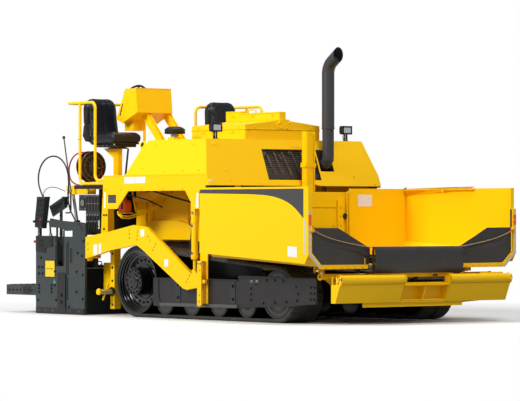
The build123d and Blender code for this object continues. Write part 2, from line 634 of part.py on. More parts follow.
# Outline of a tow arm, (forward of the datum, height).
TOW_ARM = ((-800, 1016), (-270, 1089), (250, 1174), (527, 1150), (812, 975), (1455, 569),
           (1600, 547), (1660, 530), (1675, 476), (1660, 425), (1600, 404), (1373, 370),
           (1291, 386), (421, 871), (314, 921), (-226, 852), (-771, 738))
with BuildPart() as tow_arms:
    for s in (-1, 1):
        side_plate([(at(x), z) for x, z in TOW_ARM], (s * arm_y[0], s * arm_y[1]))
        slab((at(-800), at(-745)), (s * 1170, s * arm_y[1]), (738, 1016))
        rod_y(at(pin_x), pin_z, tow_pin_r + running, (s * (arm_y[0] - 1), s * (arm_y[1] + 1)),
              Mode.SUBTRACT)
save(tow_arms, "tow_arms")

# ================================================================ rear frame and augers
auger_x, auger_z = -800, 360
REAR_POST = ((-560, 86), (-473, 86), (-473, 880), (-620, 1060), (-620, 1600), (-733, 1600),
             (-775, 1003), (-560, 800))
jack = (-520, 310)          # the screw jack that sets the augers' height
with BuildPart() as rear_posts:
    for s in (-1, 1):
        side_plate([(at(x), z) for x, z in REAR_POST], (s * 1050, s * 1150))
        slab((at(-850), at(-480)), (s * 1040, s * 1050), (300, 680))
        slab((at(-733), at(-620)), (s * 1050, s * 1150), (1600, platform_z - seat_gap))
        rod_y(at(jack[0]), jack[1], 32, (s * 1149, s * 1368))
        rod_y(at(jack[0]), jack[1], 40, (s * 1368, s * 1378))
        bar((at(jack[0] + 50), s * 1250, jack[1] + 107), (at(jack[0] - 64), s * 1250, jack[1] - 108),
            10)
    slab((at(-830), at(-770)), (-1050, 1050), (610, 680))
    slab((at(-850), at(-750)), (-50, 50), (290, 612))
save(rear_posts, "rear_posts")
for side, s in SIDES:
    with BuildPart() as auger:
        rod_y(at(auger_x), auger_z, 45, (s * (50 + seat_gap), s * (1040 - seat_gap)))
        for i in range(6):
            tilt = Location((at(auger_x), s * (140 + i * 160), auger_z), (90, 0, 18 * s))
            with Locations(tilt):
                Cylinder(auger_r - 12, 12)
    save(auger, f"auger_{side}")

# ================================================================ screed
screed_bottom = 2
main_half = main_screed_width / 2
main_x = (-1863, -1463)
ext_x = (-1443, -1073)
lift_x, lift_z = -1363, 850
lug_in, lug_out = lift_y - 65, lift_y + 40
# The extension's harness loops up from its control box to the plug on the fixed screed,
# (forward of the datum, across, height), and the grade sensor's lead joins it.
plug_x, plug_y, plug_z = -1232, -1182, 1116
harness_r, lead_r = 11, 5
HARNESS = [(at(x), y, z) for x, y, z in (
    (-1774, -1372, 1546), (-1852, -1366, 1630), (-1911, -1354, 1743), (-1920, -1340, 1868),
    (-1868, -1326, 1984), (-1764, -1312, 2060), (-1630, -1299, 2084), (-1497, -1287, 2052),
    (-1398, -1273, 1962), (-1354, -1260, 1842), (-1362, -1246, 1718), (-1396, -1233, 1598),
    (-1410, -1221, 1480), (-1386, -1208, 1362), (-1316, -1197, 1270), (-1262, -1189, 1196),
    (plug_x, plug_y, plug_z))]
LEAD = [(at(x), y, z) for x, y, z in (
    (-1797, -1350, 1545), (-1792, -1350, 1604), (-1730, -1344, 1652), (-1643, -1326, 1672),
    (-1555, -1304, 1662), (-1472, -1281, 1634), (-1418, -1264, 1614))]
BRACKET_ARM = ((-1893, 1416), (-1573, 1542), (-1453, 1535), (-1493, 1404), (-1600, 1362),
               (-1600, 1016), (-1650, 1016), (-1650, 1342), (-1812, 1278))
with BuildPart() as screed_main:
    slab([at(x) for x in main_x], (-main_half, main_half), (screed_bottom, 420))
    slab((at(-1840), at(-1500)), (-main_half, main_half), (420, 620))
    slab((at(main_x[1]), at(ext_x[0]) - seat_gap), (-main_half + 40, main_half - 40), (430, 500))
    slab((at(main_x[1]) - 60, at(main_x[1])), (-main_half + 40, main_half - 40), (430, 500))
    for s in (-1, 1):
        slab((at(-1800), at(-800)), (s * 1170, s * 1195), (620, 1016))
        side_plate([(at(x), z) for x, z in BRACKET_ARM], (s * 1175, s * 1190))
        slab((at(lift_x) - 40, at(lift_x) + 40), (s * lug_in, s * 1170), (660, 740))
        for y in (lug_in, lug_out):
            slab((at(lift_x) - 40, at(lift_x) + 40), (s * y, s * (y + 25)), (660, 900))
        rod_y(at(lift_x), lift_z, 18, (s * lug_in, s * (lug_out + 25)))
    rod_z(at(plug_x), plug_y, 12, (1010, plug_z - 12))
    gland(HARNESS[::-1], harness_r + 3, 30)
save(screed_main, "screed_main")
with BuildPart() as walkway:
    slab((at(-2693), at(-1913)), (-main_half, main_half), (330, 368))
    for s in (-1, 1):
        slab((at(-2693), at(-1863) - seat_gap), (s * main_half, s * (main_half - 20)), (235, 368))
    slab((at(-2693), at(-2673)), (-main_half, main_half), (235, 368))
    slab((at(-1913), at(-1863) - seat_gap), (-main_half, main_half), (235, 368))
save(walkway, "screed_walkway")

# End gate, (forward of the datum, height): the plate, and the arm over its slot.
END_GATE = ((-1937, screed_bottom), (-828, screed_bottom), (-809, 1020), (-809, 1194),
            (-925, 1207), (-1091, 1211), (-1367, 1227), (-1615, 1256), (-1615, 1141),
            (-1386, 1131), (-1248, 1091), (-1101, 1098), (-1101, 1012), (-1288, 1012),
            (-1288, 630), (-1486, 630), (-1486, 1027), (-1937, 1027))
CONTROL_BOX = ((-1876, 1537), (-1685, 1536), (-1765, 1124), (-1927, 1140))
for side, s in SIDES:
    with BuildPart() as extension:
        slab([at(x) for x in ext_x], (s * 10, s * (main_half + 10)), (screed_bottom, 320))
        slab((at(ext_x[0]), at(ext_x[1]) - 60), (s * 10, s * (main_half + 10)), (320, 600))
    save(extension, f"screed_extension_{side}")
    with BuildPart() as end_gate:
        side_plate([(at(x), z) for x, z in END_GATE], (s * (main_half + 10), s * (main_half + 42)))
        slab((at(-1895), at(-1845)), (s * (main_half + 10), s * (main_half + 42)), (1020, 1150))
        side_plate([(at(x), z) for x, z in CONTROL_BOX], (s * (main_half - 10), s * (main_half + 70)))
        if side == "right":
            gland(HARNESS, harness_r + 3, 20)
            gland(LEAD, lead_r + 3, 20)
    save(end_gate, f"end_gate_{side}")

a = Vector(at(lift_x), 0, lift_z)
b = Vector(at(rod_eye[0]), 0, rod_eye[1])
along = (b - a).normalized()
lift_barrel = 385
with BuildPart() as lift_barrels:
    for s in (-1, 1):
        foot = a + Vector(0, s * lift_y, 0)
        rod_y(foot.X, foot.Z, 38, (s * (lift_y - 38), s * (lift_y + 38)))
        bar(foot, foot + along * lift_barrel, 40)
        rod_y(foot.X, foot.Z, 18 + running, (s * (lift_y - 50), s * (lift_y + 50)), Mode.SUBTRACT)
        bar(foot + along * 45, foot + along * (lift_barrel + 1), 22 + seat_gap, Mode.SUBTRACT)
save(lift_barrels, "lift_cylinders")
with BuildPart() as lift_rods:
    for s in (-1, 1):
        foot = a + Vector(0, s * lift_y, 0)
        head = b + Vector(0, s * lift_y, 0)
        bar(foot + along * (lift_barrel - 35), head - along * 10, 22)
        rod_y(head.X, head.Z, 32, (s * (lift_y - 25), s * (lift_y + 25)))
save(lift_rods, "lift_rods")

# ================================================================ operator's station
seat_x, seat_y = -605, 1000
floor_z = platform_z + 50
post_top, swivel_z, pan_top = 2171, 2183, 2219
with BuildPart() as seat_posts:
    for s in (-1, 1):
        slab((at(seat_x - 50), at(seat_x + 50)), (s * (seat_y - 35), s * (seat_y + 35)),
             (floor_z, post_top))
        side_plate([(at(-651), 2036), (at(-651), post_top), (at(-868), post_top)],
                   (s * (seat_y - 35), s * (seat_y + 35)))
        rod_z(at(seat_x), s * seat_y, 60, (post_top - 1, swivel_z))
save(seat_posts, "seat_posts")
BACKREST = ((-1000, 2250), (-1075, 2420), (-1105, 2640), (-1080, 2835), (-950, 2835),
            (-900, 2700), (-860, 2375), (-860, 2250))
for side, s in SIDES:
    with BuildPart() as pan:
        slab((at(-882), at(-432)), (s * (seat_y - 170), s * (seat_y + 170)),
             (swivel_z + seat_gap, pan_top))
    save(pan, f"seat_pan_{side}")
    with BuildPart() as pads:
        slab((at(-966), at(-376)), (s * (seat_y - 240), s * (seat_y + 240)),
             (pan_top + seat_gap, 2380))
        side_plate([(at(x), z) for x, z in BACKREST], (s * (seat_y - 225), s * (seat_y + 225)))
    save(pads, f"seat_pads_{side}")

CONSOLE = ((-509, 2945), (-280, 2941), (-247, 2630), (-575, 2496), (-708, 2551))
console_y = (-950, -380)


def hood_back(z):
    """X just behind the hood's lower rear slope at a height."""
    slope = (hood_kink - hood_rear_bottom) / (hood_kink_z - hood_bottom)
    return at(hood_rear_bottom) + (z - hood_bottom) * slope - 2 * seat_gap


with BuildPart() as console:
    side_plate([(at(x), z) for x, z in CONSOLE], console_y)
    for y in (-750, -405):
        side_plate([(at(-369), 2640), (at(-309), 2640), (hood_back(2016), 2016),
                    (hood_back(1976), 1976)], (y - 25, y + 25))
    slab((at(-658), at(-470)), (-850, -650), (2400, 2540))
save(console, "console")

wheel_c = (-620, -700, 2840)
column = Vector(-0.894, 0, 0.448)
with BuildPart() as steering_wheel:
    centre = Vector(at(wheel_c[0]), wheel_c[1], wheel_c[2])
    with Locations(Plane(origin=centre, z_dir=column).location):
        Torus(165, 14)
        Box(330, 24, 12)
        Cylinder(35, 30)
    bar(centre, centre - column * 51, 16)
save(steering_wheel, "steering_wheel")

# Tube rails, each foot reaching forward to the deck's rear plate or the platform's rear edge.
rail_r, rail_y, rail_top, rail_rear = 19, 1380, 2760, -1200
RAIL_POSTS = ((-580, 1747), (-920, 1707))       # each upright, and the height of its foot
foot_z = platform_z + 25
with BuildPart() as guard_rails:
    for s, inboard in ((-1, 130), (1, 730)):
        y = s * rail_y
        (front, high), (second, low) = RAIL_POSTS
        tube([(at(deck_rear) - seat_gap, y, high), (at(front), y, high), (at(front), y, rail_top),
              (at(rail_rear), y, rail_top), (at(rail_rear), s * inboard, rail_top),
              (at(rail_rear), s * inboard, foot_z), (at(platform_rear) - seat_gap, s * inboard, foot_z)],
             80, rail_r)
        tube([(at(deck_rear) - seat_gap, y, low), (at(second), y, low),
              (at(second), y, rail_top - 2)], 80, rail_r)
save(guard_rails, "guard_rails")

with BuildPart() as hose_reel:
    for x in (-1070, -970):
        rod_x(reel_y, reel_z, reel_r, (at(x), at(x) + 12))
    rod_x(reel_y, reel_z, 120, (at(-1070), at(-960)))
    slab((at(-1090), at(-1069)), (reel_y - 50, reel_y + 50), (floor_z, reel_z))
    gland(HOSE, hose_r + 4, 35)
save(hose_reel, "hose_reel")

valve_top = platform_z - 74
with BuildPart() as valve_box:
    slab((at(-1110), at(-800)), (-1150, -300), (1040, valve_top))
    slab((at(-1110), at(-800)), (-940, -300), (valve_top - 1, platform_z - seat_gap))
    slab((at(-1265), at(-1105)), (-1150, -1125), (1358, valve_top))
save(valve_box, "valve_box")

# ================================================================ ropes, hoses and cables


def cord(points, radius, name):
    """A free rope, cable or hose: straight runs joined by the largest arcs they allow."""
    route = [Vector(*p) for p in points]
    runs = [b - a for a, b in zip(route, route[1:])]
    corners = [0.45 * min(a.length, b.length) / tan(radians(a.get_angle(b)) / 2)
               for a, b in zip(runs, runs[1:])]
    with BuildPart() as piece:
        with BuildLine() as path:
            FilletPolyline(*route, radius=corners)
        with BuildSketch(path.line ^ 0) as section:
            Circle(radius)
        sweep(section.sketch, path=path.line)
    length = path.wire().length
    print(name, "length", round(length), "radii", [round(r) for r in corners],
          "runs", [round(r.length) for r in runs],
          "volume share", round(piece.part.volume / (pi * radius**2 * length), 4))
    save(piece, name)


# The curtain's ropes sag from the wings' eye bolts, (distance from the centre line, height).
rope_r = 6
ROPE = ((eye_y - eye_r - seat_gap, 1118), (1455, 1060), (1300, 1016), (1145, 983), (990, 957),
        (845, 935), (curtain_half + 1, 918))
for side, s in SIDES:
    cord([(at(rope_x), s * y, z) for y, z in ROPE], rope_r, f"rope_{side}")

cord(HOSE, hose_r, "reel_hose")
cord(HARNESS, harness_r, "screed_harness")
cord(LEAD, lead_r, "sensor_lead")

print("driving stations", datum_x, drive_x, idler_x, front_end, rear_end)
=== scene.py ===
# %% [markdown]
# # A rubber-tracked asphalt paver
# A paver takes hot mix into the hopper at its front, carries it back on two bar conveyors,
# spreads it with augers and levels it with a heavy screed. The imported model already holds
# every plate, tube, hinge and wheel at its real place. This lesson gives those parts their
# finishes, and models what a CAD file leaves out: treads, auger flights, upholstery, rubber
# sheets, ropes, hoses, bolts and labels. All lengths are in metres.

# %% Load the frame
import bpy
import bmesh
import json
from math import atan2, cos, exp, pi, radians, sin
from mathutils import Euler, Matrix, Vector

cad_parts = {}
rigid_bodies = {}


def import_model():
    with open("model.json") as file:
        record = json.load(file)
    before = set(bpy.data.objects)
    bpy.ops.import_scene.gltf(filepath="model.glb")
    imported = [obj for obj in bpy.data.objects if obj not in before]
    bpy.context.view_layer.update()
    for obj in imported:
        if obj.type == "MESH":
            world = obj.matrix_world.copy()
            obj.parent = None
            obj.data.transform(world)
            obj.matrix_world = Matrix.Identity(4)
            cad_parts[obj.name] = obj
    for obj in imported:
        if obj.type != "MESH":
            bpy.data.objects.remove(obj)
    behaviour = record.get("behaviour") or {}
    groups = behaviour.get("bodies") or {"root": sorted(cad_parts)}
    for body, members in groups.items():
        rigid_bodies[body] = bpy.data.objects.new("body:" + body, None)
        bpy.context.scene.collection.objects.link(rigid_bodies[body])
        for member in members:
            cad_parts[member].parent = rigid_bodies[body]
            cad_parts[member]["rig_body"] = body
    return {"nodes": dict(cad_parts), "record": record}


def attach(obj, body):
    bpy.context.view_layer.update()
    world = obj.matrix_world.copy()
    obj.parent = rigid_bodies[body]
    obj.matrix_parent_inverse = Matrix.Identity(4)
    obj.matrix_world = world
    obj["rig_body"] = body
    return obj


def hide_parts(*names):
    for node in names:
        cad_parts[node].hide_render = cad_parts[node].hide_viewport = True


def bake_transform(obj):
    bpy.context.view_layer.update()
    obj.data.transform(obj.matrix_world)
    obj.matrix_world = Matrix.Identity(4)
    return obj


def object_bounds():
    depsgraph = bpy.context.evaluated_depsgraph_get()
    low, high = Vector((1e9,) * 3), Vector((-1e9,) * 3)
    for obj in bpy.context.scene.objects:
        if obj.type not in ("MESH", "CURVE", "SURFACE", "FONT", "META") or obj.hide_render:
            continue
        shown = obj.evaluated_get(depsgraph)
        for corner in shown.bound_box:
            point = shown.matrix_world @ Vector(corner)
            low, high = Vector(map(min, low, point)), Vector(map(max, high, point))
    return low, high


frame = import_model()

cad_low, cad_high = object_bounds()
datum_x = cad_low.x + 2.693     # a plane just behind the drive axle
SIDES = (("right", -1), ("left", 1))


def at(forward):
    """The X value that lies this far forward of the datum plane."""
    return datum_x + forward


# %% [markdown]
# ## A small workshop
# Most of what is added here is sheet metal, bar, turned parts and bolts. A `Shape` gathers
# such pieces in one mesh, so that a panel with thirty bolts is one object and not thirty-one.
# Outlines are extruded along an axis, and turned parts are a profile spun about a line. A
# bevel modifier then breaks the sharp edges, which is what lets light catch them.


# %% The Shape helper
class Shape:
    """Plates, rods, turned parts and bolts, gathered in one mesh."""

    def __init__(self):
        self.mesh = bmesh.new()
        self.materials = []

    def number(self, material):
        if material not in self.materials:
            self.materials.append(material)
        return self.materials.index(material)

    def faces(self, points, loops, material):
        """Add points, and faces that name them by their order."""
        made = [self.mesh.verts.new(p) for p in points]
        for loop in loops:
            face = self.mesh.faces.new([made[i] for i in loop])
            face.material_index = self.number(material)
        return made

    def prism(self, outline, span, axis, material):
        """An outline in the two other axes, in their order, solid over a span of this one."""
        n = len(outline)
        points = []
        for level in (min(span), max(span)):
            for a, b in outline:
                points.append({"x": (level, a, b), "y": (a, level, b), "z": (a, b, level)}[axis])
        loops = [list(range(n)), list(range(2 * n - 1, n - 1, -1))]
        loops += [[i, i + n, (i + 1) % n + n, (i + 1) % n] for i in range(n)]
        self.faces(points, loops, material)

    def side_plate(self, outline, span, material):
        """An upright plate whose outline is (forward of the datum plane, height)."""
        self.prism([(at(x), z) for x, z in outline], span, "y", material)

    def box(self, x, y, z, material):
        """A box between two values of each of x, y and z."""
        self.prism([(min(x), min(y)), (max(x), min(y)), (max(x), max(y)), (min(x), max(y))],
                   z, "z", material)

    def turned(self, start, direction, profile, material, sides=24):
        """A profile of (distance along, radius) spun about a line from start."""
        along = Vector(direction).normalized()
        across = along.orthogonal().normalized()
        up = along.cross(across)
        points, rings = [], []
        for distance, radius in profile:
            centre = Vector(start) + along * distance
            count = sides if radius > 1e-6 else 1
            rings.append((len(points), count))
            for k in range(count):
                turn = 2 * pi * k / count
                points.append(centre + (across * cos(turn) + up * sin(turn)) * radius)
        loops = []
        for (a, na), (b, nb) in zip(rings, rings[1:]):
            for k in range(sides):
                low, low_next = a + k % na, a + (k + 1) % na
                high, high_next = b + k % nb, b + (k + 1) % nb
                loop = [low, low_next, high_next, high]
                loops.append([v for i, v in enumerate(loop) if v not in loop[:i]])
        self.faces(points, [loop for loop in loops if len(loop) > 2], material)

    def rod(self, start, end, radius, material, sides=16):
        """A round bar between two points, with its ends broken a little."""
        line = Vector(end) - Vector(start)
        lip = min(radius * 0.12, line.length / 4)
        self.turned(start, line, [(0, 0), (0, radius - lip), (lip, radius),
                                  (line.length - lip, radius), (line.length, radius - lip),
                                  (line.length, 0)], material, sides)

    def bolt(self, place, direction, size, material):
        """A washer under a hexagon head; size is the head's width across corners."""
        r = size / 2
        self.turned(place, direction, collar(0, r * 1.3, r * 0.22), material, 12)
        self.turned(place, direction, [(r * 0.2, 0), (r * 0.2, r), (r * 0.9, r), (r, r * 0.8),
                                       (r, 0)], material, 6)

    def tube(self, points, radius, material, sides=10):
        """A bent tube with rounded corners through points."""
        self.along(rounded(points, radius * 3), lambda k: radius, material, sides)

    def along(self, path, radius_at, material, sides=10):
        """A tube whose radius may change along a close path."""
        path = [Vector(p) for p in path]
        tangents = [(path[min(i + 1, len(path) - 1)] - path[max(i - 1, 0)]).normalized()
                    for i in range(len(path))]
        side = tangents[0].orthogonal().normalized()
        points = []
        for i, (p, t) in enumerate(zip(path, tangents)):
            side = (side - t * side.dot(t)).normalized()
            up = t.cross(side)
            for k in range(sides):
                turn = 2 * pi * k / sides
                points.append(p + (side * cos(turn) + up * sin(turn)) * radius_at(i))
        loops = [[i * sides + k, i * sides + (k + 1) % sides, (i + 1) * sides + (k + 1) % sides,
                  (i + 1) * sides + k] for i in range(len(path) - 1) for k in range(sides)]
        loops += [list(range(sides))[::-1], [(len(path) - 1) * sides + k for k in range(sides)]]
        self.faces(points, loops, material)

    def finish(self, name, body, slot, bevel=0.0, sharp=35, stands_for=()):
        """Turn it into an object that rides on a body."""
        bmesh.ops.recalc_face_normals(self.mesh, faces=self.mesh.faces)
        data = bpy.data.meshes.new(name)
        self.mesh.to_mesh(data)
        self.mesh.free()
        piece = bpy.data.objects.new(name, data)
        bpy.context.scene.collection.objects.link(piece)
        for material in self.materials:
            data.materials.append(material)
        data.polygons.foreach_set("use_smooth", [True] * len(data.polygons))
        data.set_sharp_from_angle(angle=radians(sharp))
        if bevel:
            edges = piece.modifiers.new("Broken edges", "BEVEL")
            edges.width, edges.segments, edges.limit_method = bevel, 2, "ANGLE"
            edges.angle_limit, edges.use_clamp_overlap = radians(50), True
        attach(piece, body)
        if stands_for:
            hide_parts(*stands_for)
        print(name, "rides on", body + ":", len(data.polygons), "faces")
        return piece


def rounded(points, radius, steps=5):
    """The points of a path with each corner replaced by a short arc-like curve."""
    route = [Vector(p) for p in points]
    path = [route[0]]
    for before, corner, after in zip(route, route[1:], route[2:]):
        back = (before - corner).normalized() * min(radius, (before - corner).length * 0.45)
        ahead = (after - corner).normalized() * min(radius, (after - corner).length * 0.45)
        for k in range(steps + 1):
            t = k / steps
            path.append(corner + back * (1 - t) ** 2 + ahead * t ** 2)
    return path + [route[-1]]


def collar(inner, outer, long):
    """The profile of a square-edged ring that goes round a bar."""
    return [(0, inner), (0, outer), (long, outer), (long, inner)]


def rectangle(a, b, low, high):
    """The outline of a rectangle between two values of each axis."""
    return (a, low), (b, low), (b, high), (a, high)


def ring(centre, axis, radius, count, start=0.0):
    """Places evenly spaced on a circle about an axis."""
    along = Vector(axis).normalized()
    across = along.orthogonal().normalized()
    up = along.cross(across)
    turns = [start + 2 * pi * k / count for k in range(count)]
    return [Vector(centre) + (across * cos(a) + up * sin(a)) * radius for a in turns]

# %% [markdown]
# ## Finishes
# The real machine is painted steel, rubber, vinyl and bare metal. Each of these is one
# Principled BSDF whose colour, roughness and bump come from a few shared effects: a dust film
# that settles low down and in blotches, a paint skin with the slight orange peel of a sprayed
# panel, a moulded grain for rubber and plastic, and the drawn scratches of bare steel. Each
# effect is a node group with named inputs, so that one change improves every material.


# %% Helpers for shader nodes
def node(tree, kind, inputs=(), **settings):
    """A new node with its settings, whose inputs are values or other nodes' outputs."""
    new = tree.nodes.new(kind)
    for key, value in settings.items():
        setattr(new, key, value)
    for key, value in dict(inputs).items():
        if isinstance(value, bpy.types.NodeSocket):
            tree.links.new(value, new.inputs[key])
        else:
            new.inputs[key].default_value = value
    return new


def effect(name, inputs, outputs):
    """An empty node group with named sockets: (name, type, default) and (name, type)."""
    tree = bpy.data.node_groups.new(name, "ShaderNodeTree")
    for socket, kind, value in inputs:
        made = tree.interface.new_socket(socket, in_out="INPUT", socket_type="NodeSocket" + kind)
        made.default_value = value
    for socket, kind in outputs:
        tree.interface.new_socket(socket, in_out="OUTPUT", socket_type="NodeSocket" + kind)
    return tree, tree.nodes.new("NodeGroupInput").outputs, tree.nodes.new("NodeGroupOutput").inputs


def maths(tree, operation, a, b=0.0, clamp=False):
    """The output of one Math node."""
    return node(tree, "ShaderNodeMath", {0: a, 1: b}, operation=operation,
                use_clamp=clamp).outputs[0]


def blotches(tree, scale, detail=4.0, rough=0.6, stretch=(1, 1, 1)):
    """A noise value that moves with the piece, stretched along its axes."""
    place = node(tree, "ShaderNodeTexCoord").outputs["Object"]
    placed = node(tree, "ShaderNodeMapping", {"Vector": place, "Scale": stretch}).outputs[0]
    return node(tree, "ShaderNodeTexNoise", {"Vector": placed, "Scale": scale, "Detail": detail,
                                             "Roughness": rough}).outputs[0]


def mixed(tree, share, a, b):
    """The output of a colour Mix node."""
    new = node(tree, "ShaderNodeMix", {"Factor": share}, data_type="RGBA")
    for key, value in (("A", a), ("B", b)):
        socket = [s for s in new.inputs if s.name == key and s.type == "RGBA"][0]
        if isinstance(value, bpy.types.NodeSocket):
            tree.links.new(value, socket)
        else:
            socket.default_value = value
    return [s for s in new.outputs if s.type == "RGBA"][0]


# %% Shared effects
# Dust: a thin film, thicker near the ground and on what faces up.
dust, given, made = effect("Dust film", [("Colour", "Color", (1, 1, 1, 1)),
                                         ("Dust", "Color", (0.32, 0.27, 0.2, 1)),
                                         ("Amount", "Float", 0.2), ("Roughness", "Float", 0.4)],
                           [("Colour", "Color"), ("Roughness", "Float")])
place = node(dust, "ShaderNodeTexCoord").outputs["Object"]
height = node(dust, "ShaderNodeSeparateXYZ", {0: place}).outputs["Z"]
low_down = node(dust, "ShaderNodeMapRange", {"Value": height, "From Min": 1.3, "From Max": 0.0,
                                             "To Min": 0.35, "To Max": 1.0}).outputs[0]
facing = node(dust, "ShaderNodeSeparateXYZ",
              {0: node(dust, "ShaderNodeNewGeometry").outputs["Normal"]}).outputs["Z"]
on_top = maths(dust, "MULTIPLY", maths(dust, "MAXIMUM", facing), 0.5)
patchy = node(dust, "ShaderNodeMapRange", {"Value": blotches(dust, 2.3, 7), "From Min": 0.35,
                                           "From Max": 0.75}).outputs[0]
film = maths(dust, "MULTIPLY", maths(dust, "ADD", low_down, on_top),
             maths(dust, "ADD", patchy, 0.25))
film = maths(dust, "MULTIPLY", film, given["Amount"], clamp=True)
dust.links.new(mixed(dust, film, given["Colour"], given["Dust"]), made["Colour"])
dust.links.new(maths(dust, "ADD", given["Roughness"], maths(dust, "MULTIPLY", film, 0.45), True),
               made["Roughness"])

# Skin: the fine orange peel of sprayed paint, on plate that is never quite flat.
skin, given, made = effect("Paint skin", [("Peel", "Float", 0.1), ("Plate waves", "Float", 0.1)],
                           [("Normal", "Vector")])
waves = node(skin, "ShaderNodeBump", {"Height": blotches(skin, 1.7, 1.0),
                                      "Strength": given["Plate waves"], "Distance": 0.04})
peel = node(skin, "ShaderNodeBump", {"Height": blotches(skin, 160.0, 2.0),
                                     "Strength": given["Peel"], "Distance": 0.002,
                                     "Normal": waves.outputs[0]})
skin.links.new(peel.outputs[0], made["Normal"])

# Grain: the pebbled surface of moulded plastic, vinyl and rubber.
grain, given, made = effect("Moulded grain", [("Size", "Float", 300.0), ("Depth", "Float", 0.3)],
                            [("Normal", "Vector"), ("Mask", "Float")])
place = node(grain, "ShaderNodeTexCoord").outputs["Object"]
cells = node(grain, "ShaderNodeTexVoronoi", {"Vector": place, "Scale": given["Size"]},
             feature="SMOOTH_F1").outputs["Distance"]
bump = node(grain, "ShaderNodeBump", {"Height": cells, "Strength": given["Depth"],
                                      "Distance": 0.0015})
grain.links.new(bump.outputs[0], made["Normal"])
grain.links.new(node(grain, "ShaderNodeMapRange", {"Value": blotches(grain, 6.0, 6),
                                                   "From Min": 0.3, "From Max": 0.7}).outputs[0],
                made["Mask"])

# Scratches: long marks drawn along the machine, where mix and slats rub the steel.
drawn, given, made = effect("Drawn scratches", [("Depth", "Float", 0.3)],
                            [("Normal", "Vector"), ("Mask", "Float")])
lines = blotches(drawn, 9.0, 8, 0.7, stretch=(0.35, 12, 12))
bump = node(drawn, "ShaderNodeBump", {"Height": lines, "Strength": given["Depth"],
                                      "Distance": 0.002})
drawn.links.new(bump.outputs[0], made["Normal"])
drawn.links.new(node(drawn, "ShaderNodeMapRange", {"Value": lines, "From Min": 0.35,
                                                   "From Max": 0.7}).outputs[0], made["Mask"])
print("effects", [g.name for g in bpy.data.node_groups])


# %% [markdown]
# ## Materials
# One function makes each family of finish. Numbers that are the same all over a surface sit on
# the shader's own sockets; only what changes over the surface comes through a group.


# %% Material families
def surface(name):
    """A new material and its tree and shader."""
    material = bpy.data.materials.new(name)
    material.use_nodes = True
    tree = material.node_tree
    return material, tree, tree.nodes["Principled BSDF"]


def group(tree, which, **values):
    """One of the shared effects, placed in a material."""
    new = node(tree, "ShaderNodeGroup", node_tree=which)
    for key, value in values.items():
        new.inputs[key.replace("_", " ")].default_value = value
    return new.outputs


def paint(name, colour, rough=0.3, dusty=0.08, peel=0.12, waves=0.05, coat=0.5, gloss=0.3):
    """Sprayed paint on steel plate."""
    material, tree, shader = surface(name)
    film = group(tree, dust, Colour=(*colour, 1), Amount=dusty, Roughness=rough)
    tree.links.new(film["Colour"], shader.inputs["Base Color"])
    tree.links.new(film["Roughness"], shader.inputs["Roughness"])
    tree.links.new(group(tree, skin, Peel=peel, Plate_waves=waves)["Normal"],
                   shader.inputs["Normal"])
    shader.inputs["Specular IOR Level"].default_value = gloss
    shader.inputs["Coat Weight"].default_value = coat
    shader.inputs["Coat Roughness"].default_value = 0.12
    return material


def moulded(name, colour, rough=0.5, size=300.0, depth=0.25, dusty=0.2, fade=1.35, gloss=0.4):
    """Rubber, vinyl or plastic with a grain and slightly uneven colour."""
    material, tree, shader = surface(name)
    marks = group(tree, grain, Size=size, Depth=depth)
    pale = [min(1, c * fade) for c in colour]
    tone = mixed(tree, marks["Mask"], (*colour, 1), (*pale, 1))
    film = node(tree, "ShaderNodeGroup", node_tree=dust)
    tree.links.new(tone, film.inputs["Colour"])
    film.inputs["Amount"].default_value, film.inputs["Roughness"].default_value = dusty, rough
    tree.links.new(film.outputs["Colour"], shader.inputs["Base Color"])
    tree.links.new(film.outputs["Roughness"], shader.inputs["Roughness"])
    tree.links.new(marks["Normal"], shader.inputs["Normal"])
    shader.inputs["Specular IOR Level"].default_value = gloss
    return material


def metal(name, colour, rough=0.3, depth=0.1, dark=0.6):
    """Bare metal, brighter where it is rubbed."""
    material, tree, shader = surface(name)
    marks = group(tree, drawn, Depth=depth)
    tone = mixed(tree, marks["Mask"], (*[c * dark for c in colour], 1), (*colour, 1))
    tree.links.new(tone, shader.inputs["Base Color"])
    spread = node(tree, "ShaderNodeMapRange", {"Value": marks["Mask"], "To Min": rough * 1.3,
                                               "To Max": rough * 0.8}).outputs[0]
    tree.links.new(spread, shader.inputs["Roughness"])
    tree.links.new(marks["Normal"], shader.inputs["Normal"])
    shader.inputs["Metallic"].default_value = 1.0
    return material


def lens(name, colour, rough=0.08):
    """A moulded lens over a pattern of small prisms."""
    material, tree, shader = surface(name)
    marks = group(tree, grain, Size=70.0, Depth=0.6)
    tone = mixed(tree, marks["Mask"], (*colour, 1), (*[min(1, c * 1.25) for c in colour], 1))
    tree.links.new(tone, shader.inputs["Base Color"])
    tree.links.new(marks["Normal"], shader.inputs["Normal"])
    shader.inputs["Roughness"].default_value = rough
    shader.inputs["Coat Weight"].default_value = 1.0
    return material


# %% The machine's own finishes
yellow = paint("Machine yellow", (0.98, 0.575, 0.0), rough=0.4, dusty=0.02, coat=0.03,
               gloss=0.16)
charcoal = paint("Charcoal frame paint", (0.011, 0.0105, 0.012), rough=0.36, dusty=0.04, coat=0.1,
                 gloss=0.25)
screed_paint = paint("Dark screed paint", (0.022, 0.033, 0.035), rough=0.36, dusty=0.05, coat=0.2)
black_paint = paint("Gloss black wheels", (0.002, 0.002, 0.0025), rough=0.10, dusty=0.01, coat=0.35,
                    gloss=0.3)
stack_paint = paint("Heatproof grey", (0.035, 0.037, 0.042), rough=0.4, dusty=0.04, coat=0.1,
                    peel=0.3)
stripe_paint = paint("Charcoal stripe", (0.045, 0.044, 0.046), rough=0.32, dusty=0.04)
white_film = paint("Blank white label", (0.8, 0.8, 0.82), rough=0.45, dusty=0.06, coat=0.1)
silver_tape = paint("Silver reflecting tape", (0.52, 0.54, 0.6), rough=0.25, dusty=0.08, coat=0.6)
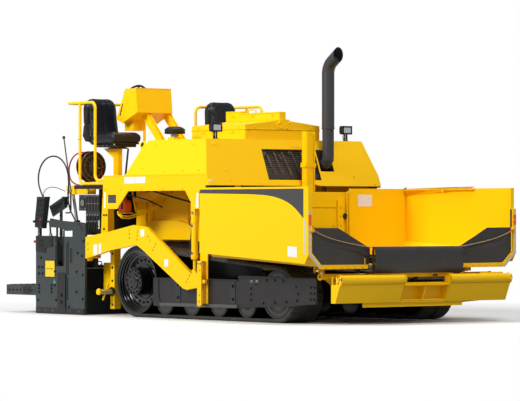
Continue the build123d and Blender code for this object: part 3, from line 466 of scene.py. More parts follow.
orange_film = paint("Orange reflector", (0.85, 0.09, 0.005), rough=0.2, dusty=0.05, coat=1.0)
stripe_yellow = paint("Blank yellow sign", (0.93, 0.62, 0.01), rough=0.4, dusty=0.05, coat=0.2)
green_film = paint("Green mark", (0.02, 0.30, 0.10), rough=0.4, dusty=0.05, coat=0.2)
mast_paint = paint("Mast paint", (0.05, 0.075, 0.055), rough=0.4, dusty=0.1, coat=0.2)
reel_paint = paint("Reel paint", (0.09, 0.05, 0.026), rough=0.3, dusty=0.1, coat=0.4)
orange_box = paint("Orange plastic", (0.95, 0.16, 0.004), rough=0.5, dusty=0.03, coat=0.0,
                   gloss=0.12)
belt_rubber = moulded("Track rubber", (0.012, 0.0115, 0.011), 0.6, 90.0, 0.35, 0.1)
sheet_rubber = moulded("Sheet rubber", (0.02, 0.019, 0.019), 0.5, 120.0, 0.15, 0.06)
vinyl = moulded("Seat vinyl", (0.004, 0.0065, 0.012), 0.3, 420.0, 0.25, 0.02, gloss=0.35)
black_plastic = moulded("Black plastic", (0.007, 0.007, 0.008), 0.45, 380.0, 0.25, 0.04, gloss=0.3)
cable_jacket = moulded("Cable jacket", (0.01, 0.01, 0.011), 0.4, 500.0, 0.2, 0.15)
red_jacket = moulded("Red hose jacket", (0.42, 0.012, 0.012), 0.35, 500.0, 0.15, 0.05)
rope_fibre = moulded("Tan rope fibre", (0.55, 0.36, 0.13), 0.75, 900.0, 0.5, 0.1, fade=0.75)
red_tie = moulded("Red rope end", (0.6, 0.03, 0.015), 0.5, 600.0, 0.3, 0.05)
chrome = metal("Chromed rod", (0.82, 0.82, 0.84), 0.12, 0.02, 0.92)
worn_steel = metal("Worn steel", (0.3, 0.275, 0.25), 0.42, 0.4, 0.45)
zinc = metal("Plated fasteners", (0.42, 0.41, 0.38), 0.35, 0.1, 0.7)
cast_iron = paint("Engine paint", (0.04, 0.042, 0.045), rough=0.6, dusty=0.3, coat=0.0, peel=0.6)
clear_lens = lens("Lamp lens", (0.40, 0.47, 0.56))
screen_glass = lens("Dark display", (0.02, 0.03, 0.035), 0.05)

FINISHES = {"yellow": yellow, "charcoal": charcoal, "screed_grey": screed_paint,
            "black_paint": black_paint, "exhaust": stack_paint, "belt_rubber": belt_rubber,
            "sheet_rubber": sheet_rubber, "seat_vinyl": vinyl, "rod_chrome": chrome,
            "wear_steel": worn_steel, "engine_paint": cast_iron, "black_plastic": black_plastic,
            "lamp": black_plastic, "rope": rope_fibre, "red_hose": red_jacket,
            "cable": cable_jacket}
for row in frame["record"]["subparts"]:
    part = frame["nodes"][row["node"]]
    part.data.materials.clear()
    part.data.materials.append(FINISHES[row["material_slot"]])
print(len(FINISHES), "finishes on", len(frame["nodes"]), "nodes")

# %% [markdown]
# ## Camera, floor and light
# A long lens from far away keeps the machine's parallel edges nearly parallel. The floor is a
# pale plane that turns into plain white in the distance, and still takes the machine's shadow.
# One large soft lamp stands on the machine's right, a weaker one ahead, and the sky fills the
# rest, so that colours come out about as they are written.

# %% Camera
camera = bpy.data.objects.new("Camera", bpy.data.cameras.new("Camera"))
camera.location = (31.134, -24.720, 1.3048)
camera.rotation_euler = Euler((radians(90.2635), 0, radians(51.301)))
camera.data.lens, camera.data.sensor_width = 214.22, 36
camera.data.clip_end = 200
bpy.context.scene.collection.objects.link(camera)
bpy.context.scene.camera = camera
bpy.context.scene.view_settings.view_transform = "Standard"
print("camera", tuple(round(v, 2) for v in camera.location), "lens", camera.data.lens)

# %% Floor
FLOOR_HALF, CLEAR_FROM, WHITE_FROM = 60.0, 4.0, 7.5
floor = bpy.data.objects.new("Floor", bpy.data.meshes.new("Floor"))
floor.data.from_pydata([(x * FLOOR_HALF, y * FLOOR_HALF, 0)
                        for x, y in ((-1, -1), (1, -1), (1, 1), (-1, 1))], [], [(0, 1, 2, 3)])
bpy.context.scene.collection.objects.link(floor)
ground, tree, shader = surface("Pale floor")
shader.inputs["Roughness"].default_value = 0.7
place = node(tree, "ShaderNodeTexCoord").outputs["Object"]
away = node(tree, "ShaderNodeVectorMath", {0: place}, operation="LENGTH").outputs["Value"]
far = node(tree, "ShaderNodeMapRange", {"Value": away, "From Min": CLEAR_FROM,
                                        "From Max": WHITE_FROM}).outputs[0]
rays = node(tree, "ShaderNodeLightPath").outputs
seen = maths(tree, "MAXIMUM", maths(tree, "MAXIMUM", rays["Is Camera Ray"],
                                    rays["Is Glossy Ray"]), rays["Is Transmission Ray"])
# Light that the floor throws back on the machine comes from a darker grey, as from asphalt.
tone = mixed(tree, seen, (0.3, 0.3, 0.3, 1), (0.86, 0.86, 0.86, 1))
tree.links.new(tone, shader.inputs["Base Color"])
white = node(tree, "ShaderNodeEmission", {"Color": (1, 1, 1, 1), "Strength": 1.0}).outputs[0]
faded = node(tree, "ShaderNodeMixShader", {0: maths(tree, "MULTIPLY", far, seen),
                                           1: shader.outputs[0], 2: white})
tree.links.new(faded.outputs[0], tree.nodes["Material Output"].inputs["Surface"])
floor.data.materials.append(ground)
print("floor fades to white from", CLEAR_FROM, "to", WHITE_FROM)

# %% Sky and lamps
SKY = 0.42
world = bpy.data.worlds.new("Studio")
bpy.context.scene.world = world
world.use_nodes = True
tree = world.node_tree
plain = tree.nodes["Background"]
plain.inputs["Color"].default_value = (1, 1, 1, 1)
plain.inputs["Strength"].default_value = SKY
backdrop = node(tree, "ShaderNodeBackground", {"Color": (1, 1, 1, 1), "Strength": 1.0})
rays = node(tree, "ShaderNodeLightPath").outputs
seen = maths(tree, "MAXIMUM", rays["Is Camera Ray"], rays["Is Transmission Ray"])
sky = node(tree, "ShaderNodeMixShader", {0: seen, 1: plain.outputs[0], 2: backdrop.outputs[0]})
tree.links.new(sky.outputs[0], tree.nodes["World Output"].inputs["Surface"])

LAMPS = (("Key", (-1.0, -14.0, 9.5), 5.0, 2350), ("Front fill", (9.5, -1.0, 11.0), 5.0, 760),
         ("Top", (-2.0, 1.0, 13.0), 6.0, 380))      # name, place, size, power in watts
for name, where, size, power in LAMPS:
    lamp = bpy.data.objects.new(name, bpy.data.lights.new(name, "AREA"))
    lamp.data.size, lamp.data.energy = size, power
    lamp.location = where
    lamp.rotation_euler = (Vector((0, 0, 1.2)) - Vector(where)).to_track_quat("-Z", "Y").to_euler()
    bpy.context.scene.collection.objects.link(lamp)
    print(name, "lamp", power, "W")

# %% [markdown]
# ## Ropes, hoses and cables
# Each free cord is one smooth curve through the points that the model's own tube was bent
# along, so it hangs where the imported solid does. A hose is that curve given a thickness. A
# rope is three strands wound about it, which needs the curve's own points, so they are read
# back from it before it is thickened.


# %% Cord helpers
def spline(name, points):
    """A smooth curve led by points."""
    curve = bpy.data.curves.new(name, "CURVE")
    curve.dimensions = "3D"
    line = curve.splines.new("NURBS")
    line.points.add(len(points) - 1)
    for control, point in zip(line.points, points):
        control.co = (*point, 1)
    line.order_u = 3
    line.use_endpoint_u = True
    line.resolution_u = 16
    piece = bpy.data.objects.new(name, curve)
    bpy.context.scene.collection.objects.link(piece)
    return piece


def hose(name, points, radius, material, body):
    """A round hose or cable along a smooth curve."""
    piece = spline(name, points)
    piece.data.bevel_depth, piece.data.bevel_resolution = radius, 4
    piece.data.use_fill_caps = True
    piece.data.materials.append(material)
    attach(piece, body)
    return piece


def curve_path(name, points):
    """The points of a smooth curve, read from it, and its length."""
    guide = spline(name, points)
    bpy.context.view_layer.update()
    line = bpy.data.meshes.new_from_object(guide)
    path = [v.co.copy() for v in line.vertices]
    bpy.data.objects.remove(guide)
    return path, sum((b - a).length for a, b in zip(path, path[1:]))


def even(path, step):
    """Points a fixed step apart along a path."""
    placed, spare = [path[0]], 0.0
    for a, b in zip(path, path[1:]):
        run = (b - a).length
        reach = step - spare
        while reach <= run:
            placed.append(a.lerp(b, reach / run))
            reach += step
        spare = run - (reach - step)
    return placed


# %% The curtain's ropes
rope_x, rope_r = at(4.104), 0.006
ROPE = ((1.6057, 1.118), (1.455, 1.060), (1.300, 1.016), (1.145, 0.983), (0.990, 0.957),
        (0.845, 0.935), (0.701, 0.918))
STRANDS, LAY = 3, 0.045     # strands, and the length in which one goes round once
for side, s in SIDES:
    path, length = curve_path("Rope line", [(rope_x, s * y, z) for y, z in ROPE])
    path = even(path, 0.006)
    tangents = [(path[min(i + 1, len(path) - 1)] - path[max(i - 1, 0)]).normalized()
                for i in range(len(path))]
    rope = Shape()
    for strand in range(STRANDS):
        wound = []
        for i, (p, t) in enumerate(zip(path, tangents)):
            turn = 2 * pi * (i * 0.006 / LAY + strand / STRANDS)
            across = Vector((1, 0, 0))
            wound.append(p + (across * cos(turn) + t.cross(across) * sin(turn)) * rope_r * 0.46)
        rope.along(wound, lambda k: rope_r * 0.54, rope_fibre, 8)
    piece = rope.finish(f"curtain_rope_{side}", "tractor", "rope", sharp=80)
    piece.parent = None
    del piece["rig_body"]
    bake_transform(piece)
    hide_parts(f"rope_{side}")
    print("rope", side, round(length, 3), "m")

# %% The wash-down hose behind its reel
reel_y = -1.135
HOSE = ((-1.100, 2.118), (-1.212, 2.126), (-1.332, 2.110), (-1.434, 2.060), (-1.507, 1.962),
        (-1.518, 1.850), (-1.470, 1.752), (-1.368, 1.705), (-1.254, 1.693), (-1.140, 1.668))
points = [(at(x), reel_y, z) for x, z in HOSE]
hose_length = curve_path("Hose line", points)[1]
reel_hose = hose("reel_hose_loop", points, 0.010, red_jacket, "tractor")
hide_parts("reel_hose")
print("reel hose", round(hose_length, 3), "m")

# %% The screed's harness and its sensor lead
HARNESS = ((-1.774, -1.372, 1.546), (-1.852, -1.366, 1.630), (-1.911, -1.354, 1.743),
           (-1.920, -1.340, 1.868), (-1.868, -1.326, 1.984), (-1.764, -1.312, 2.060),
           (-1.630, -1.299, 2.084), (-1.497, -1.287, 2.052), (-1.398, -1.273, 1.962),
           (-1.354, -1.260, 1.842), (-1.362, -1.246, 1.718), (-1.396, -1.233, 1.598),
           (-1.410, -1.221, 1.480), (-1.386, -1.208, 1.362), (-1.316, -1.197, 1.270),
           (-1.262, -1.189, 1.196), (-1.232, -1.182, 1.116))
LEAD = ((-1.797, -1.350, 1.545), (-1.792, -1.350, 1.604), (-1.730, -1.344, 1.652),
        (-1.643, -1.326, 1.672), (-1.555, -1.304, 1.662), (-1.472, -1.281, 1.634),
        (-1.418, -1.264, 1.614))
points = [(at(x), y, z) for x, y, z in HARNESS]
path, harness_length = curve_path("Harness line", points)
path = even(path, 0.012)
harness = Shape()
# The jacket is a split, ribbed conduit.
harness.along(path, lambda k: 0.011 if k % 2 else 0.0099, cable_jacket, 12)
piece = harness.finish("screed_harness_loop", "screed", "cable", sharp=80)
piece.parent = None
del piece["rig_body"]
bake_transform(piece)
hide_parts("screed_harness")
points = [(at(x), y, z) for x, y, z in LEAD]
lead_length = curve_path("Lead line", points)[1]
lead = hose("sensor_lead_loop", points, 0.005, cable_jacket, "screed_extension_right")
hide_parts("sensor_lead")
print("harness", round(harness_length, 3), "m, lead", round(lead_length, 3), "m")

# %% [markdown]
# ## Rubber belts
# Each belt runs round a large driven wheel and a smaller idler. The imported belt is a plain
# band, so it is modelled again as a carcass with two staggered rows of shallow treads. Both
# are laid out by walking along the belt's own line: two arcs joined by two straight runs.

# %% Belt line
drive_x, drive_z, drive_r = at(0.200), 0.455, 0.408
idler_x, idler_z, idler_r = at(3.035), 0.340, 0.293
BELT_IN, BELT_OUT, BELT_THICK = 0.829, 1.285, 0.047
CARCASS, TREADS = 0.034, 84


def belt_line(distance, clear):
    """The place (x, z) and outward direction this share of the way round the belt."""
    lean = atan2(drive_z - idler_z, idler_x - drive_x)
    top, run = pi / 2 - 2 * lean, idler_x - drive_x
    big, small = drive_r + clear, idler_r + clear
    lengths = (run, small * (top + pi / 2), run, big * (1.5 * pi - top))
    along = distance % 1 * sum(lengths)
    if along < lengths[0]:
        return (drive_x + along, drive_z - big), (0, -1)
    along -= lengths[0]
    if along < lengths[1]:
        turn = along / small - pi / 2
        return (idler_x + small * cos(turn), idler_z + small * sin(turn)), (cos(turn), sin(turn))
    along -= lengths[1]
    if along < lengths[2]:
        start = (idler_x + small * cos(top), idler_z + small * sin(top))
        return (start[0] - sin(top) * along, start[1] + cos(top) * along), (cos(top), sin(top))
    turn = top + (along - lengths[2]) / big
    return (drive_x + big * cos(turn), drive_z + big * sin(turn)), (cos(turn), sin(turn))


def belt_point(distance, clear, y):
    """A point over the belt line, this far out from it, at a value of y."""
    (x, z), (out_x, out_z) = belt_line(distance, 0.001)
    return (x + out_x * clear, y, z + out_z * clear)


# %% Belts
BAND = ((BELT_IN, 0), (BELT_OUT, 0), (BELT_OUT, CARCASS - 0.008), (BELT_OUT - 0.01, CARCASS),
        (BELT_IN + 0.01, CARCASS), (BELT_IN, CARCASS - 0.008))      # (y, height over the wheel)
ROWS = ((BELT_IN + 0.006, 1.04, 0.0), (1.074, BELT_OUT - 0.004, 0.5))   # inner, outer, stagger
for side, s in SIDES:
    belt = Shape()
    count, n = 3 * TREADS, len(BAND)
    points = [belt_point(i / count, h, s * y) for i in range(count) for y, h in BAND]
    loops = [[i * n + k, i * n + (k + 1) % n, (i + 1) % count * n + (k + 1) % n,
              (i + 1) % count * n + k] for i in range(count) for k in range(n)]
    belt.faces(points, loops, belt_rubber)
    for low, high, stagger in ROWS:
        for i in range(TREADS):
            middle, points = (i + stagger) / TREADS, []
            for h, half, trim in ((CARCASS - 0.004, 0.455, 0), (BELT_THICK - 0.0015, 0.40, 0.006)):
                for end in (-half, half):
                    for y in (low + trim, high - trim):
                        points.append(belt_point(middle + end / TREADS, h, s * y))
            belt.faces(points, [(0, 2, 3, 1), (4, 5, 7, 6), (0, 1, 5, 4), (1, 3, 7, 5),
                                (3, 2, 6, 7), (2, 0, 4, 6)], belt_rubber)
    belt.finish(f"belt_{side}", "tractor", "belt_rubber", sharp=40, stands_for=[f"track_{side}"])

# %% [markdown]
# ## Wheels and side frames
# The driven wheel is a deep black dish: concentric steps inside the barrel, a ring of bolts on
# the dish, and a planetary hub that stands out of it with dark bolts round its rim. The
# steps are one spun profile. Rollers and idler show only a rim ring and a hub cap.

# %% Wheel details
wheel_out, dish_y, hub_y, roller_z = 1.277, 1.167, 1.337, 0.2313
# Steps inside the barrel, (distance out from the dish, radius).
BARREL = ((0.002, 0.205), (0.016, 0.205), (0.016, 0.222), (0.002, 0.226), (0.002, 0.318),
          (0.02, 0.322), (0.026, 0.33), (0.03, 0.345), (0.05, 0.349), (0.056, 0.36),
          (0.082, 0.363), (0.088, 0.374), (0.108, 0.377), (0.1125, 0.388), (0.1125, 0.398),
          (0.108, 0.4))
HUB = ((0, 0.172), (0.01, 0.165), (0.01, 0.13), (0.004, 0.126), (0.004, 0.105), (0.016, 0.1),
       (0.016, 0.062), (0.024, 0.056), (0.024, 0.026), (0.018, 0.02), (0.018, 0))
ROLLERS = [at(0.790 + 0.552 * i) for i in range(4)]
for side, s in SIDES:
    wheels, out = Shape(), (0, s, 0)
    wheels.turned((drive_x, s * dish_y, drive_z), out, BARREL, black_paint, 64)
    wheels.turned((drive_x, s * hub_y, drive_z), out, HUB, black_paint, 48)
    for place in ring((drive_x, s * (hub_y + 0.01), drive_z), out, 0.147, 14):
        wheels.bolt(place, out, 0.026, charcoal)
    for place in ring((drive_x, s * (dish_y + 0.002), drive_z), out, 0.272, 20, 0.1):
        wheels.bolt(place, out, 0.03, black_paint)
    for place in ring((drive_x, s * (hub_y + 0.016), drive_z), out, 0.08, 3, 0.5):
        wheels.bolt(place, out, 0.02, charcoal)
    for x in ROLLERS:
        wheels.turned((x, s * wheel_out, roller_z), out,
                      [(0, 0.179), (0.005, 0.176), (0.005, 0.158), (-0.001, 0.154)], charcoal, 40)
        wheels.turned((x, s * wheel_out, roller_z), out,
                      [(0, 0.09), (0.006, 0.085), (0.006, 0.04)], charcoal, 24)
    wheels.turned((idler_x, s * wheel_out, idler_z), out,
                  [(0, 0.288), (0.006, 0.284), (0.006, 0.262), (-0.001, 0.258)], charcoal, 56)
    wheels.turned((idler_x, s * wheel_out, idler_z), out,
                  [(-0.001, 0.225), (0.006, 0.22), (0.006, 0.19), (-0.001, 0.186)], charcoal, 48)
    wheels.finish(f"wheel_details_{side}", "tractor", "black_paint", sharp=32)

# %% Side frame plates, strips and bolts
frame_y = 1.310
END_PLATE = ((0.594, 0.156), (0.745, 0.158), (0.735, 0.2), (0.712, 0.26), (0.7, 0.34),
             (0.7, 0.511), (0.594, 0.511))
LOWER_LIP = ((0.745, 0.157), (2.314, 0.164), (2.314, 0.206), (0.735, 0.2))
FRONT_RIM = ((2.318, 0.170), (3.313, 0.207), (3.806, 0.248), (3.806, 0.27), (3.31, 0.23),
             (2.318, 0.194))
STRIPS, SLOT_STRIP = (1.10, 2.21), 0.05
IDLER_BOLTS = ((2.56, 0.27), (2.56, 0.34), (2.56, 0.41), (2.66, 0.47), (2.86, 0.515),
               (3.02, 0.515), (3.18, 0.51), (3.42, 0.44), (3.46, 0.36), (3.44, 0.28),
               (3.24, 0.262), (3.02, 0.25), (2.80, 0.24))
FRONT_BOLTS = ((3.70, 0.30), (3.70, 0.37), (3.70, 0.44), (3.76, 0.30), (3.76, 0.37), (3.76, 0.44))
for side, s in SIDES:
    frame_parts, out = Shape(), (0, s, 0)
    for outline, depth, material in ((END_PLATE, 0.008, charcoal), (LOWER_LIP, 0.02, stripe_paint),
                                     (FRONT_RIM, 0.012, charcoal)):
        frame_parts.side_plate(outline, (s * frame_y, s * (frame_y + depth)), material)
    frame_parts.box((at(0.71), at(2.314)), (s * frame_y, s * (frame_y + 0.012)), (0.497, 0.512),
                    charcoal)
    frame_parts.box((at(2.318), at(3.806)), (s * frame_y, s * (frame_y + 0.01)), (0.535, 0.549),
                    charcoal)
    for x in STRIPS:
        frame_parts.box((at(x - SLOT_STRIP), at(x + SLOT_STRIP)),
                        (s * frame_y, s * (frame_y + 0.006)), (0.215, 0.49), black_paint)
        for z in (0.27, 0.43):
            frame_parts.bolt((at(x), s * (frame_y + 0.006), z), out, 0.036, charcoal)
    # An adjuster's slot with rounded ends over two holes; the slot is a thin black plate, painted
    # shade for its hollow.
    slot = [(at(2.63) + side_x * 0.09 + 0.032 * cos(turn), 0.497 + 0.032 * sin(turn))
            for side_x, start in ((1, -pi / 2), (-1, pi / 2))
            for turn in [start + pi * k / 8 for k in range(9)]]
    frame_parts.prism(slot, (s * frame_y, s * (frame_y + 0.004)), "y", black_paint)
    for x in (2.58, 2.68):
        frame_parts.turned((at(x), s * (frame_y + 0.004), 0.497), out,
                           [(0, 0.018), (0.003, 0.018), (0.003, 0.01), (-0.002, 0.009)], zinc, 16)
    for x, z in IDLER_BOLTS + FRONT_BOLTS:
        frame_parts.bolt((at(x), s * frame_y, z), out, 0.03, charcoal)
    frame_parts.finish(f"side_frame_fittings_{side}", "tractor", "charcoal", bevel=0.0015)

# %% [markdown]
# ## Tow points and arms
# The screed is pulled through its arms, each guided between two plates and set for height by
# a cylinder. What shows here is small hardware: the plates' bolted caps, a cast boss with its
# bright pin, a junction box, the cylinder's clevis and gland, rows of bolts along the arms
# where wear plates are fixed, and plain white labels.

# %% Tow point hardware
arm_in, arm_out = 1.330, 1.378
guide_in, guide_out = 1.311, 1.398     # the guide's plates, from the centre line
cylinder_x, cylinder_y = at(1.500), 1.354
for side, s in SIDES:
    out = (0, s, 0)
    fixed = Shape()
    fixed.box((at(1.566), at(1.722)), (s * guide_in, s * 1.326), (0.900, 0.918), yellow)
    fixed.box((at(1.568), at(1.574)), (s * guide_in, s * 1.325), (0.164, 0.9), yellow)
    fixed.box((at(1.717), at(1.723)), (s * guide_in, s * 1.325), (0.164, 0.9), yellow)
    for z in (0.176, 0.7):
        for x in (1.622, 1.671):
            fixed.bolt((at(x), s * guide_out, z), out, 0.022, zinc)
    for z in (0.24, 0.32, 0.62):
        fixed.bolt((at(1.646), s * guide_out, z), out, 0.026, yellow)
    # Cylinder: a gland nut, a head cap, ports and the clevis it hangs from.
    axis_up = (0, 0, 1)
    for low, profile in ((0.7495, [(0, 0.024), (0, 0.034), (0.012, 0.047), (0.05, 0.047),
                                   (0.055, 0.043)]),
                         (1.2, [(0, 0.043), (0.004, 0.048), (0.09, 0.048), (0.094, 0)])):
        fixed.turned((cylinder_x, s * cylinder_y, low), axis_up, profile, yellow, 28)
    for z in (0.83, 1.17):
        fixed.turned((cylinder_x, s * (cylinder_y + 0.03), z), out,
                     [(0, 0.018), (0.02, 0.018), (0.026, 0.012)], zinc, 12)
        fixed.tube([(cylinder_x, s * (cylinder_y + 0.05), z),
                    (cylinder_x - 0.05, s * 1.405, z + 0.01),
                    (cylinder_x - 0.07, s * 1.37, z + 0.09), (cylinder_x - 0.07, s * 1.33, 1.36)],
                   0.008, cable_jacket, 8)
    for depth in (-0.03, 0.022):
        fixed.prism([(cylinder_x - 0.04, 1.28), (cylinder_x + 0.04, 1.28),
                     (cylinder_x + 0.04, 1.42), (cylinder_x - 0.02, 1.46),
                     (cylinder_x - 0.04, 1.46)],
                    (s * (cylinder_y + depth), s * (cylinder_y + depth + 0.01)), "y", yellow)
    fixed.bolt((cylinder_x, s * (cylinder_y + 0.032), 1.33), out, 0.034, zinc)
    # A dark junction box on the frame beside the guide.
    fixed.box((at(1.42), at(1.47)), (s * guide_in, s * 1.332), (0.40, 0.49), black_plastic)
    fixed.bolt((at(1.445), s * 1.332, 0.445), out, 0.026, zinc)
    fixed.finish(f"tow_guide_fittings_{side}", "tractor", "yellow", bevel=0.0015)

    boss = Shape()
    boss.turned((at(1.676), s * 1.355, 0.476), (1, 0, 0),
                [(0, 0.034), (0.012, 0.034), (0.016, 0.028), (0.058, 0.028), (0.06, 0.02)], yellow,
                24)
    boss.turned((at(1.736), s * 1.355, 0.476), (1, 0, 0),
                [(0, 0.017), (0.016, 0.017), (0.02, 0.012), (0.02, 0)], chrome, 20)
    boss.turned((at(1.615), s * 1.3834, 0.476), out,
                [(0, 0.027), (0.0008, 0.027), (0.0008, 0)], zinc, 24)
    boss.finish(f"tow_point_boss_{side}", "tow_points", "yellow")

# %% Tow arm hardware
ARM_BOLTS = ((-0.745, 0.86), (-0.745, 0.93), (0.16, 1.01), (0.16, 1.06), (0.155, 1.11),
             (0.32, 0.99), (0.33, 1.04), (0.34, 1.09), (0.56, 1.03), (0.60, 0.98),
             (0.66, 0.86), (0.69, 0.90), (0.72, 0.94), (1.36, 0.47), (1.39, 0.51), (1.42, 0.55))
ARM_LABELS = ((-0.62, -0.54, 0.79, 0.92), (-0.50, -0.45, 0.80, 0.93), (0.40, 0.48, 1.03, 1.12),
              (0.905, 0.985, 0.655, 0.745))    # rear, front, bottom, top
for side, s in SIDES:
    arm, out = Shape(), (0, s, 0)
    for x, z in ARM_BOLTS:
        arm.turned((at(x), s * arm_out, z), out,
                   [(0, 0.013), (0.002, 0.013), (0.002, 0.009), (-0.001, 0.008)], charcoal, 12)
        arm.bolt((at(x), s * arm_out, z), out, 0.016, yellow)
    for rear, front, low, high in ARM_LABELS:
        arm.prism([(at(rear), low), (at(front), low), (at(front), high), (at(rear), high)],
                  (s * arm_out, s * (arm_out + 0.001)), "y", white_film)
    # Cover plate over the arm's foremost length, and stiffeners in its rear box.
    arm.side_plate(((1.30, 0.40), (1.375, 0.374), (1.595, 0.408), (1.655, 0.428), (1.668, 0.476),
                    (1.655, 0.525), (1.595, 0.543), (1.45, 0.563)),
                   (s * arm_out, s * (arm_out + 0.002)), yellow)
    for z in (0.745, 0.872, 1.004):
        arm.prism([(at(-0.745), s * 1.172), (at(-0.60), s * arm_in), (at(-0.745), s * arm_in)],
                  (z, z + 0.012), "z", yellow)
    arm.turned((at(-0.72), s * 1.335, 0.742), (0, s, 0), [(0, 0.036), (0.05, 0.036)], yellow, 24)
    arm.finish(f"tow_arm_hardware_{side}", "screed", "yellow")

# %% [markdown]
# ## Chassis hardware
# Under the hopper a small cylinder that works a flow gate shows with its hoses, and where the
# painted side panels end, a bolted flange and an orange plastic box sit on them.

# %% Chassis fittings
for side, s in SIDES:
    low = Shape()
    low.rod((at(2.16), s * 0.78, 0.648), (at(2.44), s * 0.78, 0.655), 0.034, yellow, 24)
    low.turned((at(2.44), s * 0.78, 0.655), (1, 0, 0), [(0, 0.04), (0.035, 0.04), (0.035, 0.016)],
               yellow, 24)
    low.rod((at(2.46), s * 0.78, 0.655), (at(2.60), s * 0.78, 0.656), 0.014, chrome)
    for x in (2.20, 2.40):
        low.tube([(at(x), s * 0.80, 0.68), (at(x), s * 0.82, 0.72), (at(x - 0.10), s * 0.80, 0.73),
                  (at(x - 0.24), s * 0.74, 0.66)], 0.010, cable_jacket, 8)
    low.box((at(2.12), at(2.17)), (s * 0.70, s * 0.815), (0.60, 0.70), charcoal)
    low.finish(f"gate_cylinder_{side}", "tractor", "yellow")

    panel = Shape()
    panel_y = 0.720
    for x in (-0.34, -0.20, 0.55, 1.05):
        panel.box((at(x), at(x) + 0.012), (s * panel_y, s * (panel_y + 0.03)), (0.97, 1.595),
                  yellow)
    panel.box((at(-0.36), at(1.96)), (s * panel_y, s * (panel_y + 0.012)), (0.963, 0.985), yellow)
    for x in (-0.30, 0.0, 0.3, 0.8, 1.3, 1.6, 1.9):
        for z in (1.0, 1.56):
            panel.bolt((at(x), s * panel_y, z), (0, s, 0), 0.024, zinc)
    panel.finish(f"side_panel_fittings_{side}", "tractor", "yellow")

# A bulkhead between the side panel and the valve box, a tank under the deck, a sloping hose
# and a boxed step that stands out from the panel's foot.
bay = Shape()
bay.box((at(-0.560), at(-0.345)), (-0.725, -0.735), (0.90, 1.62), yellow)
bay.box((at(-0.790), at(-0.345)), (-0.735, -0.900), (1.00, 1.012), yellow)
bay.side_plate(((-0.34, 1.509), (-0.20, 1.560), (0.02, 1.605), (0.26, 1.605), (0.13, 1.530),
                (0.02, 1.470), (-0.29, 1.462)), (-0.745, -0.94), yellow)
bay.side_plate(((-0.26, 0.983), (-0.26, 1.205), (-0.173, 1.230), (0.405, 1.231), (0.700, 1.174),
                (0.700, 0.983)), (-0.720, -0.800), yellow)
bay.tube([(at(0.05), -0.93, 1.615), (at(0.12), -0.94, 1.60), (at(0.455), -0.92, 1.535),
          (at(0.875), -0.90, 1.455), (at(1.00), -0.80, 1.43)], 0.013, cable_jacket, 10)
bay.tube([(at(0.05), -0.90, 1.60), (at(0.12), -0.91, 1.575), (at(0.455), -0.89, 1.510),
          (at(0.875), -0.87, 1.430), (at(1.00), -0.78, 1.41)], 0.013, yellow, 10)
bay.box((at(0.10), at(0.86)), (-0.735, -0.742), (1.555, 1.612), yellow)
bay.finish("side_bay_fittings", "tractor", "yellow", bevel=0.003)

# The plastic bottle with its strap and hose, on a bracket under the deck.
bottle = Shape()
bottle.prism([(at(-0.325), 1.335), (at(-0.180), 1.335), (at(-0.172), 1.35), (at(-0.172), 1.455),
              (at(-0.20), 1.49), (at(-0.30), 1.49), (at(-0.332), 1.45), (at(-0.332), 1.35)],
             (-1.10, -1.19), "y", orange_box)
# A black strip on the bottle's face is painted shade, standing for a slot.
bottle.box((at(-0.275), at(-0.232)), (-1.188, -1.193), (1.375, 1.465), black_plastic)
bottle.turned((at(-0.250), -1.145, 1.488), (0, 0, 1),
              [(0, 0.024), (0.012, 0.024), (0.014, 0.03), (0.034, 0.028), (0.036, 0)],
              orange_box, 24)
bottle.box((at(-0.345), at(-0.155)), (-1.08, -1.205), (1.318, 1.334), yellow)
bottle.prism([(at(-0.205), 1.63), (at(-0.170), 1.63), (at(-0.080), 1.345), (at(-0.112), 1.335)],
             (-1.085, -1.075), "y", yellow)
bottle.tube([(at(-0.250), -1.145, 1.51), (at(-0.22), -1.15, 1.56), (at(-0.1), -1.13, 1.55),
             (at(0.06), -1.0, 1.49), (at(0.1), -0.8, 1.40)], 0.009, cable_jacket, 8)
for drop in (0.0, 0.028):
    bottle.tube([(at(-0.486), -1.09, 1.345 - drop), (at(-0.38), -1.10, 1.290 - drop),
                 (at(-0.20), -1.10, 1.285 - drop), (at(0.0), -1.05, 1.345 - drop),
                 (at(0.10), -0.90, 1.420 - drop)], 0.010, yellow, 10)
bottle.finish("overflow_bottle", "tractor", "yellow", bevel=0.006)

# %% [markdown]
# ## Rubber sheets of the hopper
# Three black rubber sheets keep mix in the hopper's mouth: a stiff apron at the front of each
# wing, and a heavy curtain bolted over the conveyors that bulges forward in a roll. They are
# sheets, so each is one grid of points with a thickness, bent by a formula: the curtain
# follows a rounded section, and the aprons fold along an S-shaped crease.


# %% A sheet from a formula
def rubber_sheet(name, columns, rows, place, thick, body, stands_for):
    """A grid of points from place(u, v), and a second layer thick behind it in X."""
    sheet, points = Shape(), []
    for layer in (0, thick):
        for i in range(columns + 1):
            for j in range(rows + 1):
                x, y, z = place(i / columns, j / rows)
                points.append((x - layer, y, z))
    back, tall = (columns + 1) * (rows + 1), rows + 1
    loops = []
    for i in range(columns):
        for j in range(rows):
            a = i * tall + j
            loops.append([a, a + 1, a + tall + 1, a + tall])
            loops.append([back + v for v in loops[-1][::-1]])
    rim = [i * tall for i in range(columns)] + [columns * tall + j for j in range(rows)]
    rim += [i * tall + rows for i in range(columns, 0, -1)] + [j for j in range(rows, 0, -1)]
    loops += [[a, b, b + back, a + back] for a, b in zip(rim, rim[1:] + rim[:1])]
    sheet.faces(points, loops, sheet_rubber)
    return sheet.finish(name, body, "sheet_rubber", sharp=50, stands_for=[stands_for])


def smooth(value):
    """A share of 0 to 1 with soft ends."""
    value = min(max(value, 0), 1)
    return value * value * (3 - 2 * value)


# %% Centre curtain
curtain_half, curtain_thick = 0.700, 0.010
